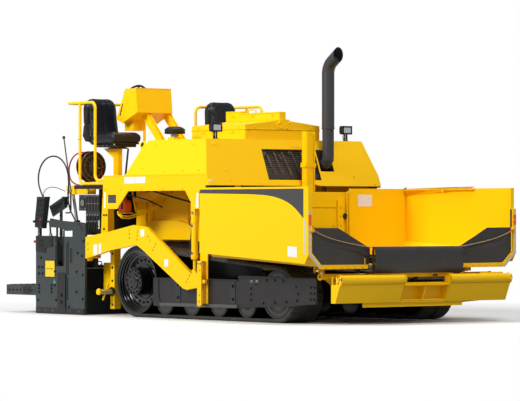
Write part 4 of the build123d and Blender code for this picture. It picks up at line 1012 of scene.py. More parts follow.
# Front of the curtain from its top edge down, (forward of the datum, height).
CURTAIN = ((4.110, 0.926), (4.132, 0.927), (4.156, 0.914), (4.172, 0.885), (4.181, 0.840),
           (4.1855, 0.780), (4.184, 0.720), (4.177, 0.668), (4.166, 0.630), (4.152, 0.608))
curtain_line, curtain_height = curve_path("Curtain line", [(at(x), 0, z) for x, z in CURTAIN])


def curtain_place(u, v):
    """Across the machine by u and down the curtain's bulge by v."""
    y = -curtain_half + 2 * curtain_half * u
    spot = v * (len(curtain_line) - 1)
    i = min(int(spot), len(curtain_line) - 2)
    point = curtain_line[i].lerp(curtain_line[i + 1], spot - i)
    sag = 0.004 * sin(5.5 * y + 0.6) + 0.0025 * sin(17 * y)
    near_end = smooth((-0.63 - y) / 0.07)
    x = point.x - 0.012 * (1 - v) * abs(sin(9 * y)) * (1 - near_end) - 0.02 * near_end * v
    return x, y, point.z + sag * sin(pi * v) - 0.004 * smooth((y - 0.62) / 0.08) * v


curtain = rubber_sheet("curtain_sheet", 48, 24, curtain_place, curtain_thick, "tractor",
                       "centre_curtain")
roll = Shape()
roll.along([(at(4.118), -0.690, z) for z in (0.925, 0.86, 0.79, 0.72, 0.65, 0.60)],
           lambda k: (0.010, 0.015, 0.018, 0.017, 0.013, 0.008)[k], sheet_rubber, 16)
for y in (0.60, 0.655):
    roll.prism([(at(4.104), 0.612), (at(4.138), 0.612), (at(4.13), 0.572), (at(4.104), 0.566)],
               (y, y + 0.03), "y", sheet_rubber)
roll.finish("curtain_ends", "tractor", "sheet_rubber")

# %% Side aprons
# Edges of an apron from the inside out, (distance from the centre line, height).
apron_in, apron_wide = 0.708, 0.899
apron_out = apron_in + apron_wide
APRON_TOP = ((apron_in, 0.912), (0.784, 0.945), (1.197, 1.148), (apron_out, 1.150))
APRON_BOTTOM = ((apron_in, 0.714), (1.462, 0.716), (apron_out, 0.852))
CREASE = ((0.70, 0.765), (0.90, 0.835), (1.04, 0.868), (1.21, 0.892), (1.36, 0.915),
          (1.46, 0.955), (1.55, 1.035), (1.61, 1.11))


def height_on(line, y):
    """The height of a line of points at a distance from the centre line."""
    for (a, low), (b, high) in zip(line, line[1:]):
        if y <= b + 1e-9:
            return low + (high - low) * (y - a) / (b - a)
    return line[-1][1]


def apron_place(s):
    """Where the points of one apron go."""
    def place(u, v):
        y = apron_in + apron_wide * u
        low, high = height_on(APRON_BOTTOM, y), height_on(APRON_TOP, y)
        z = low + (high - low) * v
        over = z - height_on(CREASE, y)
        lean = 0.020 * smooth(over / 0.055) - 0.010 * smooth((over - 0.06) / 0.2)
        ridge = 0.008 * exp(-((over - 0.05) / 0.02) ** 2)
        # The sheet lies flat where its outer edge and its foot are clamped.
        held = smooth((apron_out - y) / 0.06) * smooth(v / 0.15)
        return at(4.0605) + (lean + ridge + 0.003 * sin(8 * y + 5 * z)) * held, s * y, z
    return place


for side, s in SIDES:
    sheet = rubber_sheet(f"apron_sheet_{side}", 44, 22, apron_place(s), 0.006,
                         f"hopper_wing_{side}", f"side_apron_{side}")

# %% [markdown]
# ## Hopper wings
# Outside, each wing carries a charcoal stripe that starts as a thin line under its top edge
# and sweeps down its front, with reflecting strips on the front edge. Inside, a folded lip
# stiffens the top edge, and bolt heads hold the aprons. The stripe's lower line is a smooth
# curve through a few points.

# %% Wing stripes, reflectors and bolts
wing_side, lip_x = 1.667, 4.087
STRIPE = ((2.012, 1.566), (2.70, 1.556), (3.10, 1.548), (3.36, 1.533), (3.58, 1.494),
          (3.75, 1.436), (3.88, 1.360), (3.995, 1.262))
stripe_low = [(p.x, p.z) for p in curve_path("Stripe line", [(at(x), 0, z) for x, z in STRIPE])[0]]
UNDER_BOLTS = (0.83, 0.95, 1.04, 1.15, 1.27, 1.40)
for side, s in SIDES:
    out, ahead = (0, s, 0), (1, 0, 0)
    face = (s * wing_side, s * (wing_side + 0.0006))
    wing = Shape()
    wing.prism(stripe_low + [(at(3.999), 1.270), (at(3.999), 1.612), (at(2.012), 1.612)],
               face, "y", stripe_paint)
    wing.prism([(at(4.004), 0.842), (at(4.030), 0.842), (at(4.030), 1.255), (at(4.004), 1.255)],
               face, "y", silver_tape)
    wing.prism([(at(3.705), 0.815), (at(3.875), 0.802), (at(3.875), 0.925), (at(3.705), 0.935)],
               face, "y", white_film)
    # Tape up the front edge and round its chamfer, and an orange reflector over it.
    front = (at(lip_x), at(lip_x) + 0.0015)
    tape = ((1.660, 0.842), (1.634, 0.852), (1.634, 1.175), (1.660, 1.175))
    wing.prism([(s * y, z) for y, z in tape], front, "x", silver_tape)
    wing.prism([(s * y, z) for y, z in ((1.486, 0.672), (1.468, 0.690), (1.634, 0.852),
                                        (1.660, 0.842))], front, "x", silver_tape)
    wing.prism([(s * y, z) for y, z in rectangle(1.622, 1.662, 1.185, 1.305)],
               (at(lip_x), at(lip_x) + 0.007), "x", orange_film)
    wing.prism([(s * y, z) for y, z in rectangle(1.622, 1.662, 1.31, 1.345)],
               (at(lip_x), at(lip_x) + 0.002), "x", silver_tape)
    wing.box((at(4.05), at(4.068)), (s * 1.600, s * 1.611), (1.15, 1.372), sheet_rubber)
    # The folded lip inside the top edge, cut back at its front.
    lip_end = 3.357 if side == "left" else 4.05
    section = ((1.600, 1.637), (1.655, 1.660), (1.655, 1.637), (1.648, 1.545), (1.641, 1.545),
               (1.600, 1.615))
    if side == "right":
        section = ((1.607, 1.616), (1.648, 1.616), (1.648, 1.56), (1.641, 1.56))
        n = len(section)
    points = [(at(x if z > 1.6 else x - back), s * y, z)
              for x, back in ((2.055, 0), (lip_end, 0.075)) for y, z in section]
    wing.faces(points, [list(range(n)), list(range(2 * n - 1, n - 1, -1))]
               + [[i, i + n, (i + 1) % n + n, (i + 1) % n] for i in range(n)], yellow)
    wing.bolt((at(2.80), s * 1.621, 1.600), (0, -s, 0.6), 0.03, yellow)
    for y in UNDER_BOLTS:
        wing.bolt((at(lip_x), s * y, 0.687), ahead, 0.020, yellow)
    for z in (0.93, 1.03, 1.24):
        wing.bolt((at(lip_x), s * 1.640, z) if z < 1 else (at(lip_x), s * 1.62, z), ahead, 0.018,
                  yellow)
    for x in (2.26, 2.70, 3.35, 3.70):
        for along in (-0.04, 0.04):
            wing.bolt((at(x + along), s * 0.776, 0.809), (0, 0, 1), 0.022, yellow)
    # The eye bolt for the curtain's rope: a forged ring, a collar and a nut.
    eye = (at(lip_x + 0.017), s * 1.617, 1.122)
    wing.turned((at(lip_x), s * 1.617, 1.122), ahead, [(0, 0.026), (0.006, 0.026), (0.01, 0.02),
                                                       (0.012, 0.012)], yellow, 16)
    ring_path = [Vector(eye) + Vector((0.004 * cos(2 * t), 0.021 * cos(t), 0.021 * sin(t)))
                 for t in [2 * pi * k / 24 for k in range(25)]]
    wing.along(ring_path, lambda k: 0.0055, yellow, 8)
    wing.along([Vector(eye) + Vector((0, -s * 0.022, 0)),
                Vector(eye) + Vector((0, -s * 0.05, -0.010)),
                Vector(eye) + Vector((0, -s * 0.078, -0.024))], lambda k: 0.0085, red_tie, 12)
    if side == "left":
        wing.prism(rectangle(s * 0.84, s * 1.07, 1.412, 1.56), (at(2.050), at(2.0512)), "x",
                   white_film)
    wing.finish(f"wing_fittings_{side}", f"hopper_wing_{side}", "yellow")

# %% Wall behind the hopper
wall = Shape()
wall_x = 1.990
wall.prism(rectangle(0.09, 0.517, 1.398, 1.590), (at(wall_x), at(2.004)), "x", yellow)
wall.prism(rectangle(0.09, 0.517, 1.150, 1.385), (at(wall_x), at(1.994)), "x", yellow)
wall.prism(rectangle(-0.62, -0.06, 1.150, 1.590), (at(wall_x), at(1.996)), "x", yellow)
wall.prism(rectangle(0.533, 0.633, 1.10, 1.49), (at(wall_x), at(2.012)), "x", yellow)
for z in (1.18, 1.29, 1.40):
    wall.bolt((at(2.012), 0.583, z), (1, 0, 0), 0.024, yellow)
wall.turned((at(wall_x), 0.652, 1.289), (1, 0, 0),
            [(0, 0.02), (0.012, 0.02), (0.014, 0.036), (0.03, 0.036), (0.034, 0.03), (0.034, 0)],
            black_plastic, 24)
for y in (-0.60, -0.12, 0.13, 0.48):
    for z in (1.17, 1.56):
        wall.bolt((at(1.996), y, z), (1, 0, 0), 0.022, yellow)
# Flow gates: two plates between the chassis sides, on slides, with their lifting eyes.
for low, high in ((-0.655, -0.03), (0.03, 0.655)):
    wall.box((at(1.925), at(1.937)), (low, high), (1.0, 1.18), worn_steel)
    for y in (low + 0.14, high - 0.14):
        wall.box((at(1.937), at(1.962)), (y - 0.02, y + 0.02), (1.03, 1.15), worn_steel)
for s in (-1, 1):       # filler plates between the wall and the wings' rear plates
    wall.box((at(1.985), at(2.024)), (s * 0.676, s * 0.700), (0.82, 1.592), yellow)
    wall.box((at(1.985), at(2.001)), (s * 0.700, s * 0.760), (0.86, 1.592), yellow)
wall.finish("hopper_wall_panels", "tractor", "yellow", bevel=0.0015)

# %% [markdown]
# ## Bar conveyors
# Two conveyors run side by side under the whole machine. Each is a pair of roller chains
# joined by slats that drag the mix back over a wear plate.

# %% Conveyors
floor_z, conveyor_rear, conveyor_front = 0.640, -0.47, 4.06
LINK, EVERY = 0.09, 4
for side, s in SIDES:
    bars = Shape()
    count = int((conveyor_front - conveyor_rear) / LINK)
    for i in range(count):
        x = at(conveyor_rear + LINK * (i + 0.5))
        for y in (0.060, 0.625):
            bars.box((x - 0.052, x + 0.052) if i % 2 else (x - 0.040, x + 0.040),
                     (s * (y - (0.013 if i % 2 else 0.007)), s * (y + (0.013 if i % 2 else 0.007))),
                     (floor_z + 0.003, floor_z + 0.035), worn_steel)
        if i % EVERY == 1:
            bars.prism([(x - 0.02, floor_z + 0.002), (x + 0.014, floor_z + 0.002),
                        (x + 0.006, floor_z + 0.04), (x - 0.012, floor_z + 0.04)],
                       (s * 0.075, s * 0.61), "y", worn_steel)
    bars.finish(f"conveyor_bars_{side}", "tractor", "wear_steel", bevel=0.001)

# %% [markdown]
# ## Front cross tube and push bar
# The strip under the curtain and the push bar get the bolts, cheek plates and collars that
# the real ones have. The push rollers turn in bearings whose caps are held by three bolts.

# %% Front strip and push bar fittings
strip = Shape()
strip.prism(rectangle(-0.655, 0.655, 0.574, 0.620), (at(4.098), at(4.101)), "x", yellow)
for i in range(8):
    strip.bolt((at(4.101), -0.56 + 0.165 * i, 0.602), (1, 0, 0), 0.020, yellow)
strip.box((at(4.098), at(4.103)), (0.27, 0.35), (0.565, 0.592), cast_iron)
for s in (-1, 1):
    strip.turned((at(3.937), s * 1.370, 0.571), (0, s, 0),
                 [(-0.02, 0.0355), (-0.02, 0.040), (-0.001, 0.040), (-0.001, 0.027)], yellow, 32)
strip.finish("front_strip", "tractor", "yellow")

push = Shape()
for s in (-1, 1):
    for y, z in ((0.50, 0.40), (0.85, 0.33), (0.85, 0.43), (1.18, 0.40)):
        push.bolt((at(4.216), s * y, z - 0.06), (1, 0, -0.37), 0.026, yellow)
    # Seams between the plates of the bar's face, and an oval hand hole in each; each hand hole is a
    # short dark rod on the face, painted shade for its hollow.
    for y in (0.66, 1.02):
        push.rod((at(4.2285), s * y, 0.462), (at(4.180), s * y, 0.305), 0.0022, charcoal, 6)
    for y in (0.585, 0.84, 1.19):
        push.rod((at(4.2160), s * y, 0.410), (at(4.2115), s * y, 0.385), 0.0055, charcoal, 10)
    for y in (0.355, 1.350):
        push.turned((at(4.286), s * y, 0.538), (0, s, 0),
                    [(-0.001, 0.062), (0.0, 0.062), (0.012, 0.062), (0.0125, 0.058)], yellow, 32)
    for place in ring((at(4.286), s * 1.363, 0.538), (0, s, 0), 0.042, 3, 0.4):
        push.bolt(place, (0, s, 0), 0.018, cast_iron)
    push.box((at(4.150), at(4.160)), (s * 1.345, s * 1.3625), (0.48, 0.575), yellow)
push.box((at(4.165), at(4.200)), (0.99, 1.34), (0.48, 0.606), yellow)
for low, high, z in ((-0.34, 0.34, 0.492), (-0.34, 0.34, 0.29), (-0.30, 0.30, 0.46)):
    push.box((at(4.20), at(4.262 if z > 0.3 else 4.222)), (low, high), (z - 0.008, z + 0.004),
             yellow)
push.prism([(at(4.10), 0.443), (at(4.142), 0.443), (at(4.142), 0.478)], (-0.09, 0.09), "y", yellow)
push.turned((at(4.080), 0, 0.470), (0, 0, 1), [(0, 0.045), (0.012, 0.045), (0.016, 0.03),
                                               (0.016, 0)], zinc, 24)
push.finish("push_bar_fittings", "push_bar", "yellow", bevel=0.0015)
for side, s in SIDES:
    spin = Shape()
    for y in (0.40, 1.325):
        spin.turned((at(4.286), s * y, 0.538), (0, s, 0),
                    [(-0.012, 0.0552), (-0.012, 0.057), (0.012, 0.057), (0.012, 0.0552)], yellow,
                    32)
    spin.turned((at(4.286), s * 1.363, 0.538), (0, s, 0), [(0, 0.02), (0.003, 0.017), (0.003, 0)],
                zinc, 16)
    spin.finish(f"push_roller_rings_{side}", f"push_roller_{side}", "yellow")

# %% [markdown]
# ## Hood openings
# The hood's leaning front face has a wide opening over the radiator and a smaller tray for the
# exhaust. The opening is closed by a wire grid with the dark engine bay behind it, where a few
# pipes catch the light; a flat dark panel would look painted on. The tray is folded sheet.

# %% Grille and exhaust tray
nose_x, nose_z, face_lean = at(1.853), 1.669, 0.4062


def face_x(z, depth=0.0):
    """X on the hood's leaning front face at a height, or this far behind it."""
    return nose_x - (z - nose_z) * face_lean - depth


grille_half, grille_low, grille_high = 0.429, 1.743, 2.129
tray_in, tray_out, tray_low, tray_high, tray_back = 0.450, 0.679, 1.852, 2.132, at(1.590)
screen = Shape()
screen.prism([(face_x(grille_low, 0.10), grille_low), (face_x(grille_low, 0.096), grille_low),
              (face_x(grille_high, 0.096), grille_high), (face_x(grille_high, 0.10), grille_high)],
             (-grille_half, grille_half), "y", cast_iron)
screen.box((at(1.7755), at(1.779)), (-grille_half, grille_half), (grille_low, 1.815), cast_iron)
BARS, UPRIGHTS = 15, 15
for i in range(BARS):
    z = grille_low + 0.008 + (grille_high - grille_low - 0.016) * i / (BARS - 1)
    screen.rod((face_x(z, 0.016), -grille_half, z), (face_x(z, 0.016), grille_half, z), 0.0036,
               worn_steel, 6)
for i in range(UPRIGHTS):
    y = -grille_half + 0.02 + (2 * grille_half - 0.04) * i / (UPRIGHTS - 1)
    screen.rod((face_x(grille_low, 0.020), y, grille_low),
               (face_x(grille_high, 0.020), y, grille_high), 0.0022, charcoal, 6)
for y in (-0.30, -0.17, -0.04, 0.12, 0.27):        # pipes and hoses behind the grid
    screen.tube([(face_x(grille_low, 0.05), y + 0.05, grille_low + 0.01),
                 (face_x(1.95, 0.055), y, 1.95), (face_x(grille_high, 0.06), y - 0.03, 2.115)],
                0.011, worn_steel, 10)
for y, z in ((-0.37, 2.07), (-0.12, 2.05), (-0.10, 2.02), (0.05, 2.09)):
    screen.turned((face_x(z, 0.075), y, z), (1, 0, 0), [(0, 0.026), (0.03, 0.024), (0.034, 0)],
                  worn_steel, 16)
for low, high in ((-grille_half, -grille_half + 0.012), (grille_half - 0.012, grille_half)):
    screen.prism([(face_x(grille_low, 0.03), grille_low), (face_x(grille_low, 0.004), grille_low),
                  (face_x(grille_high, 0.004), grille_high),
                  (face_x(grille_high, 0.03), grille_high)], (low, high), "y", charcoal)
# The tray: floor, roof and two cheeks cut to the face's lean, and a back plate.
wall = 0.004
for z in (tray_low, tray_high - wall):
    screen.box((tray_back, face_x(z, 0.010)), (tray_in, tray_out), (z, z + wall), stack_paint)
for y in (tray_in, tray_out - wall):
    screen.prism([(tray_back, tray_low), (face_x(tray_low, 0.009), tray_low),
                  (face_x(tray_high, 0.009), tray_high), (tray_back, tray_high)], (y, y + wall),
                 "y", stack_paint)
screen.box((tray_back, tray_back + wall), (tray_in, tray_out), (tray_low, tray_high), stack_paint)
screen.turned((tray_back + wall, 0.565, 1.936), (1, 0, 0),
              [(0, 0.098), (0.006, 0.098), (0.008, 0.076)], stack_paint, 32)
for place in ring((tray_back + wall + 0.006, 0.565, 1.936), (1, 0, 0), 0.088, 6):
    screen.bolt(place, (1, 0, 0), 0.014, zinc)
screen.finish("hood_grille_and_tray", "tractor", "charcoal", sharp=40, stands_for=["grille"])

# %% [markdown]
# ## Exhaust, lamps and air intake
# The stack has a clamp where its sleeve starts and a hollow mouth. Each work lamp is a cast
# housing with a bezel, a prismatic lens and a bracket. The air intake is a black mushroom cap
# with ribs round its skirt. All three are turned or built from plates.

# %% Exhaust fittings
stack = Shape()
stack_x, stack_y = at(1.785), 0.565
stack.turned((stack_x, stack_y, 2.392), (0, 0, 1),
             [(0, 0.0805), (0.002, 0.084), (0.020, 0.084), (0.022, 0.0805)], stack_paint, 40)
stack.box((stack_x + 0.07, stack_x + 0.10), (stack_y - 0.02, stack_y + 0.02), (2.394, 2.412),
          stack_paint)
stack.turned((stack_x, stack_y, 1.99), (0, 0, 1), [(0, 0.0755), (0.003, 0.0775), (0.009, 0.0775),
                                                    (0.012, 0.0755)], stack_paint, 40)
stack.finish("exhaust_clamp", "tractor", "exhaust")

# %% Work lamps
lamps = Shape()
for s in (-1, 1):
    middle, rear, front = s * 1.062, at(1.500), at(1.584)
    low, high, half = 2.338, 2.447, 0.078
    lamps.prism([(rear, low + 0.022), (rear + 0.018, low), (front - 0.012, low),
                 (front - 0.012, high), (rear + 0.018, high), (rear, high - 0.022)],
                (middle - half + 0.006, middle + half - 0.006), "y", black_plastic)
    for y0, y1, z0, z1 in ((-half, half, low, low + 0.018), (-half, half, high - 0.018, high),
                           (-half, -half + 0.018, low, high), (half - 0.018, half, low, high)):
        lamps.box((front - 0.014, front), (middle + y0, middle + y1), (z0, z1), black_plastic)
    lamps.prism([(front - 0.012, low + 0.016), (front - 0.005, low + 0.02),
                 (front - 0.005, high - 0.02), (front - 0.012, high - 0.016)],
                (middle - half + 0.018, middle + half - 0.018), "y", clear_lens)
    for i in range(5):      # cooling ribs on the back
        z = low + 0.027 + 0.014 * i
        lamps.box((rear - 0.006, rear + 0.01), (middle - 0.06, middle + 0.06), (z, z + 0.005),
                  black_plastic)
    for y in (-0.022, 0.012):
        lamps.prism([(at(1.530), 2.252), (at(1.556), 2.252), (at(1.556), 2.345),
                     (at(1.530), 2.345)], (middle + y, middle + y + 0.010), "y", black_plastic)
    lamps.box((at(1.522), at(1.564)), (middle - 0.034, middle + 0.034), (2.250, 2.258),
              black_plastic)
    lamps.bolt((at(1.543), middle - 0.030, 2.30), (0, -1, 0), 0.022, zinc)
    lamps.tube([(at(1.505), middle, 2.36), (at(1.485), middle, 2.32), (at(1.50), middle, 2.253)],
               0.005, cable_jacket, 8)
lamps.finish("work_lamps", "tractor", "lamp", bevel=0.003, stands_for=["work_lights"])

# %% Air intake
intake = Shape()
intake_x, intake_y = at(0.557), -0.950
intake.prism([(at(0.485), 2.251), (at(0.625), 2.251), (at(0.612), 2.290), (at(0.50), 2.290)],
             (-1.015, -0.885), "y", yellow)
intake.turned((intake_x, intake_y, 2.288), (0, 0, 1),
              [(0, 0.048), (0.016, 0.048), (0.018, 0.054), (0.030, 0.054), (0.034, 0.045),
               (0.05, 0.045)], zinc, 28)
CAP = ((0.0, 0.05), (0.0, 0.098), (0.010, 0.118), (0.034, 0.1305), (0.060, 0.1305), (0.068, 0.120),
       (0.082, 0.105), (0.094, 0.075), (0.099, 0.035), (0.100, 0))
intake.turned((intake_x, intake_y, 2.330), (0, 0, 1), CAP, black_plastic, 40)
for place in ring((intake_x, intake_y, 2.372), (0, 0, 1), 0.128, 22):
    away = (place - Vector((intake_x, intake_y, 2.372))).normalized()
    side_way = away.cross(Vector((0, 0, 1))) * 0.004
    a, b = place - away * 0.03, place + away * 0.0035
    points = [p + w + Vector((0, 0, h)) for h in (-0.038, 0.022) for p in (a, b)
              for w in (-side_way, side_way)]
    intake.faces(points, [(0, 1, 3, 2), (4, 6, 7, 5), (0, 2, 6, 4), (1, 5, 7, 3), (2, 3, 7, 6),
                          (0, 4, 5, 1)], black_plastic)
intake.finish("air_intake", "tractor", "black_plastic", stands_for=["intake_cap"])

# %% [markdown]
# ## Hood, lid and deck fittings
# Small hardware keeps the big plates from looking like cardboard: bolt pairs, a lifting eye,
# the lid's bracket, latch and handles, seams, rubber feet and plain labels.

# %% Hood and lid fittings
hood, side_lean = Shape(), 0.298
for y, z in ((-1.185, 2.185), (-1.14, 2.18), (-1.09, 1.86), (-1.07, 1.745), (0.98, 1.79),
             (-0.62, 1.70), (1.30, 1.70), (0.80, 2.20)):
    hood.bolt((face_x(z), y, z), (1, 0, face_lean), 0.022, yellow)
for s in (-1, 1):
    # Lifting eye in the rear top corner: a ring plate round a hole, which is a black disc of painted
    # shade.
    for radius, depth, material in ((0.056, 0.006, yellow), (0.032, 0.0075, black_plastic)):
        hood.turned((at(0.318), s * 1.281, 2.196), (0, s, side_lean),
                    [(0, radius), (depth, radius - 0.002), (depth, 0)], material, 28)
    for x, z in ((0.42, 1.90), (0.90, 1.86), (1.30, 1.86), (1.62, 1.86), (0.62, 2.18), (1.40, 2.18)):
        y = 1.400 - (z - 1.807) * side_lean
        hood.bolt((at(x), s * y, z), (0, s, side_lean), 0.022, yellow)
    hood.box((at(0.13), at(1.76)), (s * 1.389, s * 1.3995), (1.812, 1.818), yellow)
    hood.box((at(1.700), at(1.846)), (s * 1.300, s * 1.395), (1.652, 1.669), black_plastic)
    for x in (0.70, 1.30):          # lid latches
        hood.box((at(x) - 0.03, at(x) + 0.03), (s * 0.606, s * 0.614), (2.33, 2.366), yellow)
        hood.bolt((at(x), s * 0.614, 2.345), (0, s, 0), 0.02, yellow)
# The latch lever under the hood's front edge.
hood.tube([(at(1.835), 0.24, 1.700), (at(1.862), 0.27, 1.695), (at(1.868), 0.33, 1.678),
           (at(1.850), 0.40, 1.672)], 0.012, yellow, 10)
hood.turned((at(1.846), 0.235, 1.702), (1, 0, 0.4), [(0, 0.03), (0.01, 0.03), (0.014, 0.018),
                                                     (0.02, 0)], cast_iron, 20)
hood.prism(rectangle(-1.385, -1.330, 1.690, 1.738), (face_x(1.714) - 0.012, face_x(1.714) + 0.001),
           "x", white_film)
hood.finish("hood_fittings", "tractor", "yellow")

lid = Shape()
front_x = at(1.562)
lid.prism([(-0.085, 2.382), (0.135, 2.382), (0.155, 2.40), (0.155, 2.455), (0.095, 2.512),
           (-0.035, 2.512), (-0.105, 2.455), (-0.105, 2.40)], (front_x, front_x + 0.012), "x",
          yellow)
for y, z in ((-0.055, 2.470), (0.105, 2.470), (-0.03, 2.405), (0.075, 2.405)):
    lid.bolt((front_x + 0.012, y, z), (1, 0, 0), 0.030, yellow)
for x0, x1 in ((0.470, 0.772), (0.782, 1.556)):     # caps on the box along the ridge
    top = 2.630 if x0 < 0.5 else 2.605
    lid.box((at(x0), at(x1)), (-0.056, 0.056), (top - 0.012, top + 0.004), yellow)
for x in (0.62, 1.02, 1.42):
    lid.bolt((at(x), -0.056, 2.57), (0, -1, 0), 0.022, yellow)
lid.tube([(at(0.86), 0.0, 2.607), (at(0.86), 0.0, 2.650), (at(1.02), 0.0, 2.650),
          (at(1.02), 0.0, 2.607)], 0.010, yellow, 10)
for s in (-1, 1):
    for x in (0.60, 1.01, 1.43):
        lid.bolt((at(x), s * 0.606, 2.405), (0, s, 0), 0.022, yellow)
    lid.tube([(at(0.93), s * 0.606, 2.412), (at(0.93), s * 0.650, 2.412),
              (at(1.10), s * 0.650, 2.412), (at(1.10), s * 0.606, 2.412)], 0.008, black_plastic,
             10)
for x in (0.464, 1.562):
    out = -1 if x < 1 else 1
    for y in (-0.45, 0.45):
        lid.bolt((at(x), y, 2.405), (out, 0, 0), 0.022, yellow)
# A lip round the lid's lower edge over a black rubber seal; the seal's dark strip is also painted
# shade for the gap under the lid's edge.
for s in (-1, 1):
    lid.box((at(0.456), at(1.570)), (s * 0.604, s * 0.616 if s < 0 else s * 0.608), (2.3765, 2.386),
            yellow)
for x0, x1 in ((0.456, 0.466), (1.560, 1.571)):
    lid.box((at(x0), at(x1)), (-0.614, 0.606), (2.3765, 2.386), yellow)
    lid.box((at(x0 + 0.003), at(x1 - 0.002)), (-0.609, 0.604), (2.3755, 2.378), sheet_rubber)
lid.finish("lid_fittings", "engine_cover", "yellow", bevel=0.002)

# %% Deck labels, feet and gate post bolts
deck = Shape()
skirt = 1.400
for s in (-1, 1):
    for outline, material in (
            (rectangle(0.085, 0.305, 1.702, 1.785), white_film),
            (rectangle(0.320, 0.530, 1.705, 1.785), white_film),
            (rectangle(-0.268, -0.095, 1.454, 1.561), stripe_paint),
            (rectangle(-0.357, -0.325, 1.392, 1.590), white_film),
            (((1.580, 1.392), (1.635, 1.392), (1.635, 1.575), (1.600, 1.575)), white_film)):
        deck.side_plate(outline, (s * skirt, s * (skirt + 0.001)), material)
    for x in (-0.33, 0.0, 0.45, 0.9, 1.3, 1.7):
        deck.bolt((at(x), s * skirt, 1.63), (0, s, 0), 0.022, yellow)
    deck.box((at(-0.379), at(1.774)), (s * 1.3995, s * 1.404), (1.797, 1.807), yellow)
# Anti-slip treads on the platform.
for i in range(11):
    for j in range(2):
        y = (-1.18, 0.10)[j]
        deck.box((at(-1.09 + 0.064 * i), at(-1.09 + 0.064 * i) + 0.022), (y, y + 1.08),
                 (1.690, 1.694), worn_steel)
for y in (0.052, 0.200):
    deck.bolt((at(1.970), y, 1.930), (1, 0, 0), 0.022, yellow)
for z in (1.62, 1.72, 2.05, 2.20, 2.32):
    deck.box((at(1.960), at(1.965)), (0.100, 0.152), (z, z + 0.012), yellow)
deck.box((at(1.9625), at(1.975)), (0.060, 0.075), (1.6, 2.35), yellow)
deck.box((at(1.9625), at(1.975)), (0.177, 0.192), (1.6, 2.35), yellow)
deck.finish("deck_fittings", "tractor", "yellow")

# %% [markdown]
# ## Seats
# Each operator's seat is a wide cushion and a tall backrest in blue-black vinyl. The pads
# begin as slightly small rounded forms, swept from a section that dips in the middle.
# Blender's cloth, blown up from inside with gravity off, then swells them so that the cover
# looks stretched over foam, and piping is laid along the seams. The second seat's pads are
# copies of the first one's, because the two are the same.


# %% A pad from a spine
def pad_form(stations, dip, sides=56):
    """A rounded form: (centre, thickness direction, half width, half thickness) by station."""
    form, points = Shape(), []
    for centre, up, half, deep in stations:
        for k in range(sides):
            turn = 2 * pi * k / sides
            c, s = cos(turn), sin(turn)
            across = half * abs(c) ** 0.38 * (1 if c > 0 else -1)
            lift = deep * abs(s) ** 0.62 * (1 if s > 0 else -1)
            if s > 0:
                lift -= dip * deep * (1 - (across / half) ** 2) ** 2
            points.append(Vector(centre) + Vector((0, across, 0)) + Vector(up) * lift)
    loops = [[i * sides + k, i * sides + (k + 1) % sides, (i + 1) * sides + (k + 1) % sides,
              (i + 1) * sides + k] for i in range(len(stations) - 1) for k in range(sides)]
    loops += [list(range(sides))[::-1],
              [(len(stations) - 1) * sides + k for k in range(sides)]]
    form.faces(points, loops, vinyl)
    return form


def inflate(piece, voxel, pressure, cap):
    """Remesh a pad, swell it with cloth pressure, and keep the result."""
    modifier = piece.modifiers.new("Voxels", "REMESH")
    modifier.mode, modifier.voxel_size = "VOXEL", voxel
    modifier = piece.modifiers.new("Soften", "SMOOTH")
    modifier.factor, modifier.iterations = 0.5, 2
    bpy.context.view_layer.update()
    evaluated = piece.evaluated_get(bpy.context.evaluated_depsgraph_get())
    fine = bpy.data.meshes.new_from_object(evaluated)
    piece.modifiers.clear()
    piece.data = fine
    before = [v.co.copy() for v in fine.vertices]
    cloth = piece.modifiers.new("Cloth", "CLOTH")
    settings = cloth.settings
    settings.use_pressure, settings.uniform_pressure_force = True, pressure
    settings.effector_weights.gravity = 0
    settings.quality = 4
    settings.tension_stiffness = settings.compression_stiffness = 25
    settings.bending_stiffness = 6
    cloth.point_cache.frame_start, cloth.point_cache.frame_end = 1, 20
    for frame_number in range(1, 21):
        bpy.context.scene.frame_set(frame_number)
    evaluated = piece.evaluated_get(bpy.context.evaluated_depsgraph_get())
    swollen = [v.co.copy() for v in evaluated.data.vertices]
    piece.modifiers.clear()
    bpy.context.scene.frame_set(1)
    for vertex, a, b in zip(fine.vertices, before, swollen):
        move = b - a
        vertex.co = a + move * min(1, cap / max(move.length, 1e-6))
    modifier = piece.modifiers.new("Smooth cover", "SUBSURF")
    modifier.levels = modifier.render_levels = 1
    fine.polygons.foreach_set("use_smooth", [True] * len(fine.polygons))
    fine.materials.clear()
    fine.materials.append(vinyl)
    print(piece.name, len(fine.polygons), "faces")


def eased(value, end):
    """A share that rounds a form off over its last stretch."""
    return (1 - (1 - min(1, value / end)) ** 2.4) ** 0.5 if value < end else 1.0


